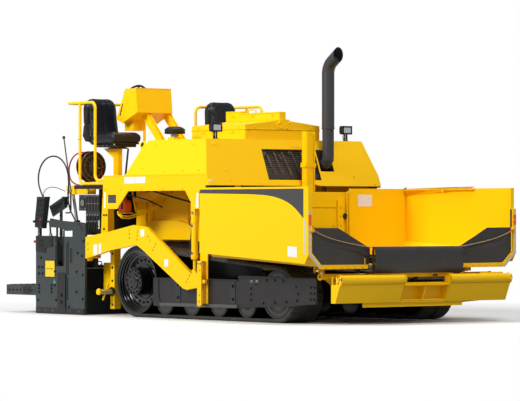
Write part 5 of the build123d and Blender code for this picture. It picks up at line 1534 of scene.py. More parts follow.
# %% Cushion and backrest
seat_y, steps = 1.000, 28
cushion_stations, back_stations = [], []
for i in range(steps + 1):
    u = i / steps
    round_off = max(0.16, min(eased(u + 0.004, 0.08), eased(1.004 - u, 0.15)))
    x, z = -0.952 + 0.566 * u, 2.296 - 0.006 * sin(pi * u) + 0.006 * u
    half = 0.243 * (0.88 + 0.12 * round_off)
    cushion_stations.append(((at(x), -seat_y, z), (0.03, 0, 1), half, 0.080 * round_off))
BACK_SPINE = ((-0.935, 2.262), (-0.965, 2.40), (-0.988, 2.55), (-1.000, 2.70), (-1.006, 2.830))
spine, spine_length = curve_path("Backrest spine", [(at(x), 0, z) for x, z in BACK_SPINE])
corner_r, back_half = 0.120, 0.245
for i in range(steps + 1):
    u = 1 - (1 - i / steps) ** 1.35
    spot = u * (len(spine) - 1)
    k = min(int(spot), len(spine) - 2)
    centre, along = spine[k].lerp(spine[k + 1], spot - k), (spine[k + 1] - spine[k]).normalized()
    left_over = max(0.0, corner_r - spine_length * (1 - u))
    half = back_half - corner_r + (corner_r ** 2 - left_over ** 2) ** 0.5
    round_off = max(0.22, min(eased(u + 0.004, 0.06), eased(1.006 - u, 0.16)))
    back_stations.append(((centre.x, -seat_y, centre.z), (along.z, 0, -along.x), half,
                          (0.104 - 0.030 * u) * round_off))
pads = {}
for name, stations, dip in (("cushion", cushion_stations, 0.42), ("backrest", back_stations, 0.62)):
    pads[name] = pad_form(stations, dip).finish(f"seat_{name}_right", "seat_right", "seat_vinyl")
    inflate(pads[name], 0.009, 4.0, 0.010)


# %% Piping along the seams
def piping(shape, pad, points, lift=0.001):
    """A welt laid on a pad along a closed loop of points near it."""
    laid = []
    for point in points:
        place, normal = pad.closest_point_on_mesh(Vector(point))[1:3]
        laid.append(place + normal * lift)
    for _ in range(3):
        laid = [(laid[i - 1] + laid[i] * 2 + laid[(i + 1) % len(laid)]) / 4 for i in range(len(laid))]
    shape.along(laid + laid[:2], lambda k: 0.0042, vinyl, 8)


def seam_loop(stations, share, lift):
    """Points round a pad at a share of its half width, on its front or top side."""
    left = [Vector(c) + Vector((0, share * half, 0)) + Vector(up) * (deep + lift)
            for c, up, half, deep in stations]
    right = [Vector(c) + Vector((0, -share * half, 0)) + Vector(up) * (deep + lift)
             for c, up, half, deep in stations]
    return left[2:-2] + right[2:-2][::-1]


seams = Shape()
piping(seams, pads["cushion"], seam_loop(cushion_stations, 0.60, 0.02))
piping(seams, pads["cushion"], seam_loop(cushion_stations, 1.08, -0.055))
piping(seams, pads["backrest"], seam_loop(back_stations, 0.62, 0.02))
piping(seams, pads["backrest"], seam_loop(back_stations, 1.08, -0.05))
piping_right = seams.finish("seat_piping_right", "seat_right", "seat_vinyl", sharp=80)

# %% Seat shells, hinges and rails
for side, s in SIDES:
    y = s * seat_y
    if side == "right":
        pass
    else:
        for piece in (pads["cushion"], pads["backrest"], piping_right):
            new = bpy.data.objects.new(piece.name.replace("right", "left"), piece.data.copy())
            bpy.context.scene.collection.objects.link(new)
            for vertex in new.data.vertices:
                vertex.co.y += 2 * seat_y
            if piece is not piping_right:
                modifier = new.modifiers.new("Smooth cover", "SUBSURF")
                modifier.levels = modifier.render_levels = 1
            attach(new, "seat_left")
    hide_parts(f"seat_pads_{side}")

    shell = Shape()
    # Moulded shell behind the backrest, and the plastic covers of its hinges.
    for i in range(6):
        z = 2.40 + 0.055 * i
        lean = -1.035 - 0.012 * i + 0.004 * abs(i - 2)
        half = 0.165 - 0.006 * i
        shell.box((at(lean - 0.022), at(lean + 0.03)), (y - half, y + half), (z, z + 0.05),
                  black_plastic)
    for edge in (-0.248, 0.222):
        shell.side_plate(((-1.045, 2.335), (-0.985, 2.262), (-0.90, 2.252), (-0.895, 2.30),
                          (-0.955, 2.44), (-1.02, 2.47)), (y + edge, y + edge + 0.027),
                         black_plastic)
        shell.turned((at(-0.975), y + (edge if edge < 0 else edge + 0.027), 2.36),
                     (0, -1 if edge < 0 else 1, 0), [(0, 0.03), (0.006, 0.026), (0.006, 0)],
                     black_plastic, 24)
    # A folded-up armrest on the right of the seat, with its pivot.
    shell.side_plate(((-1.010, 2.50), (-0.930, 2.50), (-0.935, 2.68), (-0.955, 2.72),
                      (-1.00, 2.72), (-1.018, 2.69)), (y - 0.256, y - 0.236), black_plastic)
    shell.bolt((at(-0.970), y - 0.256, 2.54), (0, -1, 0), 0.024, black_plastic)
    shell.box((at(-0.93), at(-0.40)), (y - 0.195, y + 0.195), (2.2192, 2.236), black_plastic)
    for edge in (-0.13, 0.105):
        shell.box((at(-0.90), at(-0.45)), (y + edge, y + edge + 0.025), (2.200, 2.2195), zinc)
    shell.box((at(-0.52), at(-0.50)), (y - 0.21, y - 0.15), (2.192, 2.204), black_plastic)
    shell.tube([(at(-0.50), y - 0.16, 2.205), (at(-0.44), y - 0.19, 2.20),
                (at(-0.40), y - 0.21, 2.215)], 0.006, zinc, 8)
    for i in range(6):
        x = at(-0.88 + 0.09 * i)
        shell.bolt((x, y - 0.17, 2.205), (0, -1, 0), 0.018, zinc)
    shell.finish(f"seat_frame_{side}", f"seat_{side}", "black_plastic", bevel=0.004)

    post, post_x = Shape(), -0.605
    post.box((at(-0.712), at(-0.498)), (y - 0.09, y + 0.09), (2.160, 2.172), black_paint)
    post.turned((at(post_x), y, 2.171), (0, 0, 1), [(0, 0.10), (0.010, 0.10), (0.0118, 0.095)],
                black_paint, 32)
    for dx in (-0.085, 0.085):
        for dy in (-0.07, 0.07):
            post.bolt((at(post_x + dx), y + dy, 2.172), (0, 0, 1), 0.018, zinc)
    post.box((at(-0.70), at(-0.51)), (y - 0.08, y + 0.08), (1.690, 1.700), yellow)
    for dx in (-0.075, 0.075):
        for dy in (-0.06, 0.06):
            post.bolt((at(post_x + dx), y + dy, 1.700), (0, 0, 1), 0.022, zinc)
    for z in (1.86, 2.02):
        post.bolt((at(post_x), y - 0.035, z), (0, -1, 0), 0.022, yellow)
    # A control lever that stands beside the post.
    post.rod((at(-0.469), y + 0.01, 1.70), (at(-0.377), y, 2.16), 0.013, black_plastic, 12)
    post.turned((at(-0.469), y + 0.01, 1.690), (0, 0, 1),
                [(0, 0.035), (0.02, 0.03), (0.045, 0.016)], black_plastic, 20)
    post.finish(f"seat_post_fittings_{side}", "tractor", "black_plastic", bevel=0.002)

# %% [markdown]
# ## Console and platform
# The console's sloping face carries gauges, a display, rows of switches and two levers. None
# of them bears words: the dials have plain ticks. These cells also add the fittings of the
# console's box and posts, the steering wheel's grips, the rails' clamps and the platform's trim.

# %% Console controls
console = Shape()
low, high = Vector((at(-0.708), 0, 2.551)), Vector((at(-0.509), 0, 2.945))
up = (high - low).normalized()
out = Vector((-up.z, 0, up.x))


def on_panel(y, rise, lift=0.0):
    """A place on the sloping instrument panel."""
    return low + up * rise + out * lift + Vector((0, y, 0))


def plate_on_panel(y, rise, wide, tall, thick, material):
    """A rectangular plate on the instrument panel."""
    corners = [on_panel(y + dy * wide / 2, rise + dr * tall / 2, t)
               for t in (0, thick) for dy, dr in ((-1, -1), (1, -1), (1, 1), (-1, 1))]
    console.faces(corners, [(0, 1, 2, 3), (7, 6, 5, 4), (0, 4, 5, 1), (1, 5, 6, 2), (2, 6, 7, 3),
                            (3, 7, 4, 0)], material)


plate_on_panel(-0.665, 0.22, 0.54, 0.40, 0.002, charcoal)
plate_on_panel(-0.70, 0.335, 0.20, 0.12, 0.012, black_plastic)
plate_on_panel(-0.70, 0.335, 0.17, 0.095, 0.014, screen_glass)
for y in (-0.885, -0.50, -0.425):
    for rise in (0.37, 0.29):
        base = on_panel(y, rise, 0.002)
        console.turned(base, out, [(0, 0.033), (0.008, 0.033), (0.010, 0.030), (0.006, 0.028)],
                       chrome, 28)
        console.turned(base, out, [(0.005, 0.028), (0.0055, 0)], white_film, 28)
        console.turned(base, out, [(0.0055, 0.005), (0.009, 0.004), (0.009, 0)], black_plastic, 12)
        for k in range(7):
            turn = radians(-30 + 40 * k)
            a = base + out * 0.0065 + (up * sin(turn) + Vector((0, cos(turn), 0))) * 0.019
            b = base + out * 0.0065 + (up * sin(turn) + Vector((0, cos(turn), 0))) * 0.026
            console.rod(a, b, 0.0009, black_plastic, 4)
        tip = base + out * 0.008 + (up * 0.6 + Vector((0, 0.8 if rise > 0.3 else -0.8, 0))) * 0.02
        console.rod(base + out * 0.008, tip, 0.0012, orange_film, 4)
for row, rise in enumerate((0.20, 0.14, 0.08)):
    for i in range(10):
        y = -0.90 + 0.054 * i
        base = on_panel(y, rise, 0.002)
        if (row + i) % 4 == 3:
            console.turned(base, out, [(0, 0.014), (0.012, 0.013), (0.014, 0.009), (0.014, 0)],
                           (orange_box, red_tie)[i % 2], 20)
        else:
            console.turned(base, out, [(0, 0.011), (0.003, 0.010), (0.004, 0.007)], zinc, 16)
            console.rod(base, base + out * 0.022 + up * 0.008, 0.0035, zinc, 8)
            console.rod(base + out * 0.016 + up * 0.006, base + out * 0.028 + up * 0.011, 0.0048,
                        black_plastic, 8)
for y in (-0.44, -0.41):
    base = on_panel(y, 0.03, 0.0)
    console.rod(base, base + out * 0.09 + up * 0.03, 0.006, chrome, 10)
    tip = base + out * 0.09 + up * 0.03
    console.turned(tip, out, [(-0.01, 0.006), (0.0, 0.014), (0.018, 0.018), (0.034, 0.013),
                              (0.040, 0)], black_plastic, 20)
column, column_way = Vector((at(-0.535), -0.700, 2.798)), (-0.894, 0, 0.448)
console.turned(column, column_way, [(0, 0.045), (0.02, 0.04), (0.035, 0.024), (0.046, 0.02)],
               black_plastic, 28)
# Case details: a slot and bolts on each side, seams, feet and cables.
for s, y in ((-1, -0.950), (1, -0.380)):
    # Each side's slot is a thin charcoal plate, painted shade for its hollow.
    console.side_plate(((-0.633, 2.60), (-0.612, 2.595), (-0.556, 2.745), (-0.572, 2.752)),
                       (y, y + s * 0.002), charcoal)
    for x, z in ((-0.45, 2.80), (-0.45, 2.755), (-0.45, 2.70), (-0.31, 2.70), (-0.31, 2.90),
                 (-0.53, 2.90)):
        console.bolt((at(x), y, z), (0, s, 0), 0.018, yellow)
for z in (2.72, 2.86):
    for y in (-0.93, -0.40):
        x = -0.280 + (2.941 - z) * 0.106
        console.bolt((at(x), y, z), (1, 0, 0.1), 0.016, yellow)
console.box((at(-0.292), at(-0.276)), (-0.952, -0.378), (2.9405, 2.948), yellow)
console.box((at(-0.660), at(-0.468)), (-0.852, -0.648), (2.398, 2.404), yellow)
for y in (-0.750, -0.405):
    for edge in (-0.030, 0.025):
        console.side_plate(((-0.405, 2.60), (-0.285, 2.632), (0.262, 2.060), (0.222, 1.975)),
                           (y + edge, y + edge + 0.005), yellow)
for y in (-0.75, -0.405):
    console.tube([(at(-0.36), y + 0.03, 2.63), (at(-0.20), y + 0.03, 2.45),
                  (at(0.02), y + 0.03, 2.20)], 0.009, cable_jacket, 8)
console.finish("console_controls", "tractor", "yellow", bevel=0.0012)

# %% Steering wheel grips, platform trim and the rails' clamps
grips = Shape()
centre, axis = Vector((at(-0.620), -0.700, 2.840)), Vector(column_way).normalized()
across = Vector((0, 1, 0))
over = axis.cross(across)
grips.turned(centre, axis, [(0.012, 0.034), (0.018, 0.036), (0.026, 0.030), (0.029, 0.018),
                            (0.029, 0)], black_plastic, 28)
for k in range(40):
    turn = 2 * pi * k / 40
    radial = across * cos(turn) + over * sin(turn)
    spot = centre + radial * 0.165 - axis * 0.0135
    grips.turned(spot, -axis, [(-0.003, 0.0055), (0.002, 0.0045), (0.003, 0)], black_plastic, 8)
knob = centre + (across * cos(2.4) + over * sin(2.4)) * 0.162 + axis * 0.014
grips.rod(knob, knob + axis * 0.02, 0.006, chrome, 10)
grips.turned(knob + axis * 0.018, axis, [(0, 0.010), (0.008, 0.019), (0.022, 0.021), (0.032, 0.014),
                                         (0.035, 0)], black_plastic, 20)
grips.finish("steering_wheel_grips", "steering_wheel", "black_plastic", sharp=60)
rails = Shape()
# Dark trim round the platform's edge, and a tread pattern of raised bars on its top.
for s in (-1, 1):
    rails.box((at(-1.112), at(-0.385)), (s * 1.332, s * 1.336), (1.641, 1.689), charcoal)
rails.box((at(-1.116), at(-1.111)), (-1.334, 1.334), (1.641, 1.689), charcoal)
for row in range(9):
    for k in range(34):
        x, y = -1.075 + 0.078 * row, -1.29 + 0.078 * k
        lean = 0.016 if (row + k) % 2 else -0.016
        rails.prism([(at(x - 0.016), y - lean - 0.003), (at(x + 0.016), y + lean - 0.003),
                     (at(x + 0.016), y + lean + 0.003), (at(x - 0.016), y - lean + 0.003)],
                    (1.6895, 1.6925), "z", yellow)
for s in (-1, 1):
    for x in (-0.580, -0.920):
        for z in (2.27, 2.30):
            rails.turned((at(x), s * 1.380, z), (0, 0, 1), [(0, 0.0185), (0.001, 0.0205),
                                                            (0.012, 0.0205), (0.013, 0.0185)],
                         yellow, 20)
        rails.bolt((at(x), s * 1.3995, 2.285), (0, s, 0), 0.014, zinc)
    for x in (-1.16, -1.0, -0.80, -0.66):
        rails.turned((at(x), s * 1.380, 2.760), (1, 0, 0), [(0, 0.0185), (0.001, 0.0200),
                                                            (0.006, 0.0200), (0.007, 0.0185)],
                     yellow, 20)
rails.finish("rail_clamps", "tractor", "yellow")

# %% [markdown]
# ## Augers
# Each auger is a steel shaft with a true helical flight, wound the opposite way on the other
# side so that both carry mix outward. The flight's edge is worn bright. The augers replace
# the plain CAD ones and ride on the same two bodies, so they turn with them.

# %% Auger flights
auger_x, auger_z, flight_pitch = at(-0.800), 0.360, 0.300
flight_start, flight_long = 0.095, 0.90
for side, s in SIDES:
    flight = Shape()
    flight.rod((auger_x, s * 0.054, auger_z), (auger_x, s * 1.036, auger_z), 0.044, cast_iron, 28)
    steps = 96
    rows = []
    for i in range(steps + 1):
        y = flight_start + flight_long * i / steps
        turn = 2 * pi * (y - flight_start) / flight_pitch * -s
        outer = 0.176 + 0.0015 * sin(i * 1.7)
        spoke = Vector((cos(turn), 0, sin(turn)))
        centre = Vector((auger_x, 0, auger_z))
        for radius, half in ((0.040, 0.010), (0.120, 0.008), (outer, 0.005)):
            for edge in (-1, 1):
                rows.append(centre + spoke * radius + Vector((0, s * y + edge * half, 0)))
    loops, rims = [], []
    for i in range(steps):
        a, b = i * 6, i * 6 + 6
        loops += [(a, a + 2, b + 2, b), (a + 2, a + 4, b + 4, b + 2), (a + 3, a + 1, b + 1, b + 3),
                  (a + 5, a + 3, b + 3, b + 5), (a + 1, a, b, b + 1)]
        rims.append((a + 4, a + 5, b + 5, b + 4))
    last = steps * 6
    loops += [(0, 1, 3, 2), (2, 3, 5, 4), (last, last + 2, last + 3, last + 1),
              (last + 2, last + 4, last + 5, last + 3)]
    made = flight.faces(rows, loops, cast_iron)
    for rim in rims:
        face = flight.mesh.faces.new([made[i] for i in rim])
        face.material_index = flight.number(worn_steel)
    for y in (0.075, 0.56, 1.005):
        flight.turned((auger_x, s * y, auger_z), (0, s, 0), collar(0.044, 0.062, 0.022), cast_iron,
                      24)
        for spot in ring((auger_x, s * (y + 0.011), auger_z), (0, 1, 0), 0.060, 4):
            flight.bolt(spot, spot - Vector((auger_x, s * (y + 0.011), auger_z)), 0.018, zinc)
    flight.finish(f"auger_flight_{side}", f"auger_{side}", "wear_steel", sharp=50,
                  stands_for=(f"auger_{side}",))

# %% [markdown]
# ## Screed, end gates and control boxes
# The end gates carry rows of bolts, wear plates, a blank warning plate and the slots of their
# height screws. Their fittings ride on the sliding extensions. The fixed screed gains its
# tamper boxes, burner pipes, crown adjuster and bolts, which are seen from behind.

# %% End gates
out_y, screw_y, crank_x, spring_x = 1.372, 1.356, -1.470, -1.315
pin_y, pin_z = 1.350, 0.949
GATE_BOLTS = ((-1.843, 0.957), (-1.785, 0.957), (-1.843, 0.900), (-1.785, 0.900), (-1.600, 0.945),
              (-1.570, 0.905), (-1.866, 0.612), (-1.784, 0.612), (-1.866, 0.527), (-1.784, 0.527),
              (-1.819, 0.735), (-1.496, 0.560), (-1.866, 0.374), (-1.866, 0.331), (-1.866, 0.284),
              (-1.576, 0.379), (-1.576, 0.335), (-1.576, 0.287), (-1.889, 0.175), (-1.473, 0.184),
              (-1.496, 0.380), (-0.985, 0.806), (-0.884, 0.768), (-0.851, 0.963), (-1.010, 0.560),
              (-1.010, 0.300), (-0.870, 0.520), (-0.870, 0.210), (-1.180, 0.100))
for side, s in SIDES:
    body = f"screed_extension_{side}"
    gate = Shape()

    def on_gate(outline, thick, material, sink=0.0):
        """A plate on the end gate's outer face."""
        gate.side_plate(outline, (s * (out_y - sink), s * (out_y + thick)), material)

    on_gate(((-1.930, 1.022), (-1.545, 1.022), (-1.545, 0.884), (-1.703, 0.868), (-1.718, 0.802),
             (-1.930, 0.824)), 0.008, charcoal)
    on_gate(((-1.427, 0.032), (-1.245, 0.032), (-1.245, 0.515), (-1.300, 0.545), (-1.427, 0.545)),
            0.014, charcoal)
    on_gate(rectangle(-1.925, -0.838, 0.012, 0.080), 0.010, charcoal)
    # The sign is blank, with a dark border, and the mark under it is a green triangle.
    on_gate(rectangle(-1.722, -1.494, 0.478, 0.708), 0.003, black_plastic)
    on_gate(rectangle(-1.712, -1.504, 0.488, 0.698), 0.0045, stripe_yellow)
    on_gate(rectangle(-1.690, -1.526, 0.588, 0.596), 0.0055, black_plastic)
    on_gate(((-1.545, 0.400), (-1.470, 0.402), (-1.505, 0.462)), 0.003, green_film)
    # Slots, each a thin black plate that is painted shade for its hollow, with a raised edge.
    for outline in (((-1.236, 0.520), (-1.190, 0.520), (-1.190, 0.960), (-1.236, 0.900)),
                    rectangle(-1.222, -1.199, 0.190, 0.490),
                    ((-1.150, 0.674), (-1.109, 0.674), (-1.109, 0.857), (-1.150, 0.870)),
                    ((-0.968, 1.186), (-0.952, 1.202), (-0.862, 1.112), (-0.872, 1.096))):
        on_gate(outline, 0.001, black_plastic)
        closed = [(at(x), s * (out_y + 0.001), z) for x, z in outline + outline[:1]]
        for a, b in zip(closed, closed[1:]):
            gate.rod(a, b, 0.003, charcoal, 6)
    for x, z in GATE_BOLTS:
        gate.bolt((at(x), s * out_y, z), (0, s, 0), 0.030, charcoal)
    for z in (0.160, 0.250):
        gate.bolt((at(-1.336), s * (out_y + 0.014), z), (0, s, 0), 0.034, charcoal)
    for x in (-1.86, -1.70, -1.54, -1.36, -1.14, -0.94):
        gate.turned((at(x), s * (out_y + 0.010), 0.046), (0, s, 0), [(0, 0.016), (0.001, 0.014),
                                                                     (0.001, 0)], cast_iron, 16)
    # Height screw with its crank, in the rear corner, and the push pin behind the plate.
    gate.rod((at(crank_x), s * screw_y, 0.62), (at(crank_x), s * screw_y, 1.145), 0.014, charcoal,
             16)
    gate.turned((at(crank_x), s * screw_y, 0.90), (0, 0, 1), collar(0.015, 0.024, 0.05), charcoal,
                6)
    gate.rod((at(spring_x), s * screw_y, 0.62), (at(spring_x), s * screw_y, 1.10), 0.012, charcoal,
             12)
    # A coil spring round the front screw keeps the gate down.
    turns, per_turn = 9, 14
    coil = [Vector((at(spring_x) + 0.020 * cos(2 * pi * k / per_turn),
                    s * screw_y + 0.018 * sin(2 * pi * k / per_turn),
                    0.66 + 0.34 * k / (turns * per_turn))) for k in range(turns * per_turn + 1)]
    gate.along(coil, lambda k: 0.0042, charcoal, 6)
    gate.rod((at(-1.995), s * pin_y, pin_z), (at(-1.930), s * pin_y, pin_z), 0.011, red_tie, 12)
    gate.turned((at(-1.995), s * pin_y, pin_z), (1, 0, 0),
                [(-0.006, 0), (-0.006, 0.018), (0.008, 0.018), (0.008, 0.010)], red_tie, 16)
    for z in (0.20, 0.86):
        gate.box((at(-1.945), at(-1.937)), (s * 1.342, s * 1.370), (z, z + 0.10), charcoal)
        gate.bolt((at(-1.945), s * 1.356, z + 0.05), (-1, 0, 0), 0.024, zinc)
    gate.finish(f"end_gate_fittings_{side}", body, "charcoal", bevel=0.0012)

    box = Shape()
    face = s * 1.400
    # A dark panel on the outer face with keys and lamps, all without words.
    box.side_plate(((-1.866, 1.525), (-1.697, 1.525), (-1.772, 1.140), (-1.914, 1.152)),
                   (face, face + s * 0.004), black_plastic)
    for row in range(5):
        for k in range(3):
            x, z = -1.842 + 0.052 * k - 0.013 * row, 1.490 - 0.062 * row
            colour = red_tie if (row, k) == (4, 2) else (charcoal, black_plastic)[(row + k) % 2]
            box.turned((at(x), face + s * 0.004, z), (0, s, 0),
                       [(0, 0.013), (0.006, 0.012), (0.010, 0.008), (0.010, 0)], colour, 18)
    box.rod((at(-1.862), face + s * 0.003, 1.215), (at(-1.862), face + s * 0.045, 1.215), 0.006,
            chrome, 10)
    box.turned((at(-1.862), face + s * 0.040, 1.215), (0, s, 0),
               [(0, 0.012), (0.012, 0.018), (0.026, 0.014), (0.030, 0)], black_plastic, 18)
    for x, z in ((-1.860, 1.532), (-1.710, 1.530), (-1.905, 1.160), (-1.785, 1.146)):
        box.bolt((at(x), face, z), (0, s, 0), 0.012, zinc)
    for y in (1.332, 1.388):
        box.rod((at(-1.935), s * y, 1.20), (at(-1.885), s * y, 1.50), 0.007, charcoal, 10)
    box.box((at(-1.880), at(-1.680)), (s * 1.318, s * 1.402), (1.534, 1.543), charcoal)
    # The conduit from the box to the gate with its nut, and the bolts of the box's bracket.
    box.tube([(at(-1.735), s * 1.350, 1.200), (at(-1.665), s * 1.350, 1.225),
              (at(-1.640), s * 1.352, 1.18), (at(-1.622), s * 1.354, 1.024)], 0.012, cable_jacket,
             10)
    box.turned((at(-1.622), s * 1.354, 1.024), (0, 0, 1),
               [(0, 0.022), (0.03, 0.022), (0.036, 0.015)], zinc, 6)
    for z in (1.060, 1.105):
        box.bolt((at(-1.870), s * 1.372, z), (0, s, 0), 0.026, zinc)
    box.finish(f"control_box_fittings_{side}", body, "charcoal", bevel=0.0015)

    arm = Shape()
    inner, plate_y, rim_y = s * 1.190, s * 1.195, s * 1.225
    for x, z in ((-1.840, 1.390), (-1.780, 1.415), (-1.560, 1.500), (-1.500, 1.505), (-1.525, 1.420),
                 (-1.625, 1.300), (-1.625, 1.180), (-1.625, 1.060)):
        arm.bolt((at(x), inner, z), (0, s, 0), 0.026, charcoal)
    arm.side_plate(((-1.860, 1.385), (-1.590, 1.498), (-1.595, 1.430), (-1.800, 1.335)),
                   (inner, inner + s * 0.006), charcoal)
    arm.box((at(-1.500), at(-1.484)), (inner, rim_y), (1.430, 1.520), charcoal)
    arm.box((at(-1.560), at(-1.440)), (s * 1.160, rim_y), (1.536, 1.544), charcoal)
    # The side plates' rims, bolts and lugs.
    for x in (-1.760, -1.640, -1.480, -1.300, -1.120, -0.940, -0.840):
        for z in (0.660, 0.980):
            arm.bolt((at(x), plate_y, z), (0, s, 0), 0.028, charcoal)
    for x in (-1.20, -1.00):
        arm.box((at(x), at(x + 0.012)), (plate_y, rim_y), (0.700, 0.940), charcoal)
    for y in (0.985, 1.090):
        arm.turned((at(-1.363), s * y, 0.850), (0, s if y > 1.05 else -s, 0),
                   [(0, 0.034), (0.012, 0.034), (0.014, 0.028), (0.014, 0)], zinc, 24)
    arm.finish(f"screed_side_fittings_{side}", "screed", "charcoal", bevel=0.0015)

    lift = Shape()
    foot, head = Vector((at(-1.363), s * 1.050, 0.850)), Vector((at(-1.548), s * 1.050, 1.620))
    line = (head - foot).normalized()
    for along, radius, long in ((0.150, 0.043, 0.012), (0.36, 0.044, 0.024), (0.300, 0.042, 0.010)):
        lift.turned(foot + line * along, line, collar(0.0395, radius, long), black_paint, 28)
    for along in (0.190, 0.325):
        port = foot + line * along + Vector((0.038, 0, 0.008))
        lift.turned(port, (1, 0, 0.25), [(0, 0.014), (0.018, 0.014), (0.018, 0.010), (0.03, 0.010)],
                    zinc, 6)
        lift.rod(port + Vector((0.02, 0, 0)), port + Vector((0.046, 0, 0.012)), 0.009,
                 cable_jacket, 10)
    lift.finish(f"lift_cylinder_fittings_{side}", "lift_cylinders", "black_paint")

# %% [markdown]
# The fixed screed and its walkway are mostly seen from behind and above: tamper covers,
# insulated boxes, gas burner pipes, a tread plate with raised bars, and the crown adjuster.

# %% Fixed screed and walkway
screed = Shape()
for s in (-1, 1):
    for i in range(4):
        y0 = s * (0.060 + 0.318 * i)
        y1 = y0 + s * 0.300
        screed.box((at(-1.820), at(-1.520)), (y0, y1), (0.618, 0.634), charcoal)
        for x in (-1.800, -1.540):
            for y in (y0 + s * 0.03, y1 - s * 0.03):
                screed.bolt((at(x), y, 0.634), (0, 0, 1), 0.024, zinc)
        screed.tube([(at(-1.70), (y0 + y1) / 2 - s * 0.06, 0.636),
                     (at(-1.70), (y0 + y1) / 2 - s * 0.06, 0.680),
                     (at(-1.70), (y0 + y1) / 2 + s * 0.06, 0.680),
                     (at(-1.70), (y0 + y1) / 2 + s * 0.06, 0.636)], 0.007, charcoal, 8)
        screed.box((at(-1.848), at(-1.838)), (y0, y1), (0.440, 0.600), charcoal)
        for z in (0.460, 0.580):
            for y in (y0 + s * 0.03, y1 - s * 0.03):
                screed.bolt((at(-1.848), y, z), (-1, 0, 0), 0.018, zinc)
    screed.rod((at(-1.880), s * 0.05, 0.400), (at(-1.880), s * 1.28, 0.400), 0.013, zinc, 14)
    for i in range(8):
        y = s * (0.12 + 0.155 * i)
        screed.box((at(-1.893), at(-1.862)), (y, y + s * 0.012), (0.384, 0.418), charcoal)
        screed.bolt((at(-1.489), y, 0.600), (1, 0, 0), 0.02, zinc)
    for x in (-1.56, -1.78):
        screed.turned((at(x), s * 0.028, 0.62), (0, 0, 1), [(0, 0.0), (0, 0.024), (0.10, 0.024),
                                                            (0.104, 0.018), (0.104, 0)], zinc, 16)
screed.rod((at(-1.56), -0.11, 0.69), (at(-1.56), 0.11, 0.69), 0.016, chrome, 16)
for y in (-0.06, 0.0, 0.06):
    screed.turned((at(-1.56), y - 0.014, 0.69), (0, 1, 0), collar(0.016, 0.028, 0.028), zinc, 6)
screed.finish("screed_fittings", "screed", "charcoal", bevel=0.0015)

tread = Shape()
for i in range(6):
    y0 = -1.310 + 0.4395 * i
    tread.box((at(-2.668), at(-1.925)), (y0, y0 + 0.4225), (0.3675, 0.3715), charcoal)
    for row in range(11):
        for k in range(8):
            x, y = -2.635 + 0.068 * row, y0 + 0.034 + 0.0505 * k
            lean = 0.014 if (row + k) % 2 else -0.014
            tread.prism([(at(x - 0.014), y - lean - 0.003), (at(x + 0.014), y + lean - 0.003),
                         (at(x + 0.014), y + lean + 0.003), (at(x - 0.014), y - lean + 0.003)],
                        (0.371, 0.3745), "z", charcoal)
for s in (-1, 1):
    for i in range(9):
        tread.bolt((at(-2.62 + 0.088 * i), s * 1.330, 0.30), (0, s, 0), 0.022, charcoal)
    tread.rod((at(-2.690), s * 1.318, 0.345), (at(-2.60), s * 1.318, 0.352), 0.012, charcoal, 12)
    tread.box((at(-2.30), at(-2.12)), (s * 1.330, s * 1.334), (0.255, 0.355), charcoal)
for i in range(10):
    tread.bolt((at(-2.693), -1.20 + 0.267 * i, 0.30), (-1, 0, 0), 0.022, charcoal)
tread.box((at(-2.695), at(-2.690)), (-1.30, 1.30), (0.335, 0.360), stripe_yellow)
tread.finish("walkway_tread", "screed", "charcoal")

# %% A whip mast with a knob
mast, mast_x, mast_y = Shape(), at(-1.381), -1.200
mast.rod((mast_x, mast_y, 1.360), (mast_x, mast_y, 1.63), 0.011, charcoal, 12)
mast.rod((mast_x, mast_y, 1.62), (at(-1.542), -1.200, 2.331), 0.009, mast_paint, 12)
mast.turned((at(-1.536), -1.200, 2.305), (-0.22, 0, 0.97),
            [(0, 0.010), (0.004, 0.015), (0.014, 0.020), (0.026, 0.020), (0.038, 0.014),
             (0.042, 0)], black_plastic, 24)
mast.tube([(mast_x, mast_y, 1.365), (at(-1.40), -1.197, 1.33), (at(-1.50), -1.195, 1.33)], 0.010,
          charcoal, 8)
mast.turned((mast_x, mast_y, 1.60), (0, 0, 1), collar(0.011, 0.019, 0.04), zinc, 12)
mast.finish("whip_mast", "screed", "charcoal")

# %% [markdown]
# ## Valve block, hose reel and rear frame
# The hydraulic valves stand behind the deck, with finned sections, ports and hoses. The reel
# gets ribs, a rolled rim, the hose wound on its drum and a crank.

# %% Valves and hoses
valves = Shape()
for i in range(9):
    x = -1.090 + 0.034 * i
    valves.box((at(x), at(x + 0.024)), (-1.160, -1.148), (1.350, 1.545),
               (charcoal, cast_iron)[i % 2])
    valves.turned((at(x + 0.012), -1.155, 1.545), (0, 0, 1),
                  [(0, 0.010), (0.012, 0.010), (0.016, 0.008), (0.022, 0)], zinc, 12)
    valves.bolt((at(x + 0.012), -1.160, 1.45), (0, -1, 0), 0.014, zinc)
for i in range(5):
    for row, z in enumerate((1.300, 1.215)):
        x = -1.065 + 0.058 * i
        valves.turned((at(x), -1.150, z), (0, -1, 0), [(0, 0.017), (0.012, 0.017), (0.016, 0.013),
                                                       (0.016, 0)], zinc, 6)
        valves.tube([(at(x), -1.1585, z), (at(x), -1.1585, z - 0.03),
                     (at(x - 0.015), -1.1585, 1.10), (at(x - 0.02), -1.1585, 1.045)], 0.0085,
                    cable_jacket, 8)
for x in (-1.245, -1.125):
    for z in (1.380, 1.540):
        valves.bolt((at(x), -1.150, z), (0, -1, 0), 0.022, zinc)
valves.turned((at(-1.185), -1.150, 1.460), (0, -1, 0),
              [(0, 0.058), (0.010, 0.058), (0.012, 0.050), (0.006, 0.046), (0.006, 0)],
              black_plastic, 32)
valves.turned((at(-1.185), -1.155, 1.460), (0, -1, 0), [(0.0, 0.045), (0.002, 0.044), (0.002, 0)],
              zinc, 32)
valves.box((at(-0.838), at(-0.803)), (-1.152, -1.149), (1.122, 1.232), white_film)
for x in (-1.08, -0.83):
    for z in (1.06, 1.15):
        valves.bolt((at(x), -1.150, z), (0, -1, 0), 0.02, charcoal)
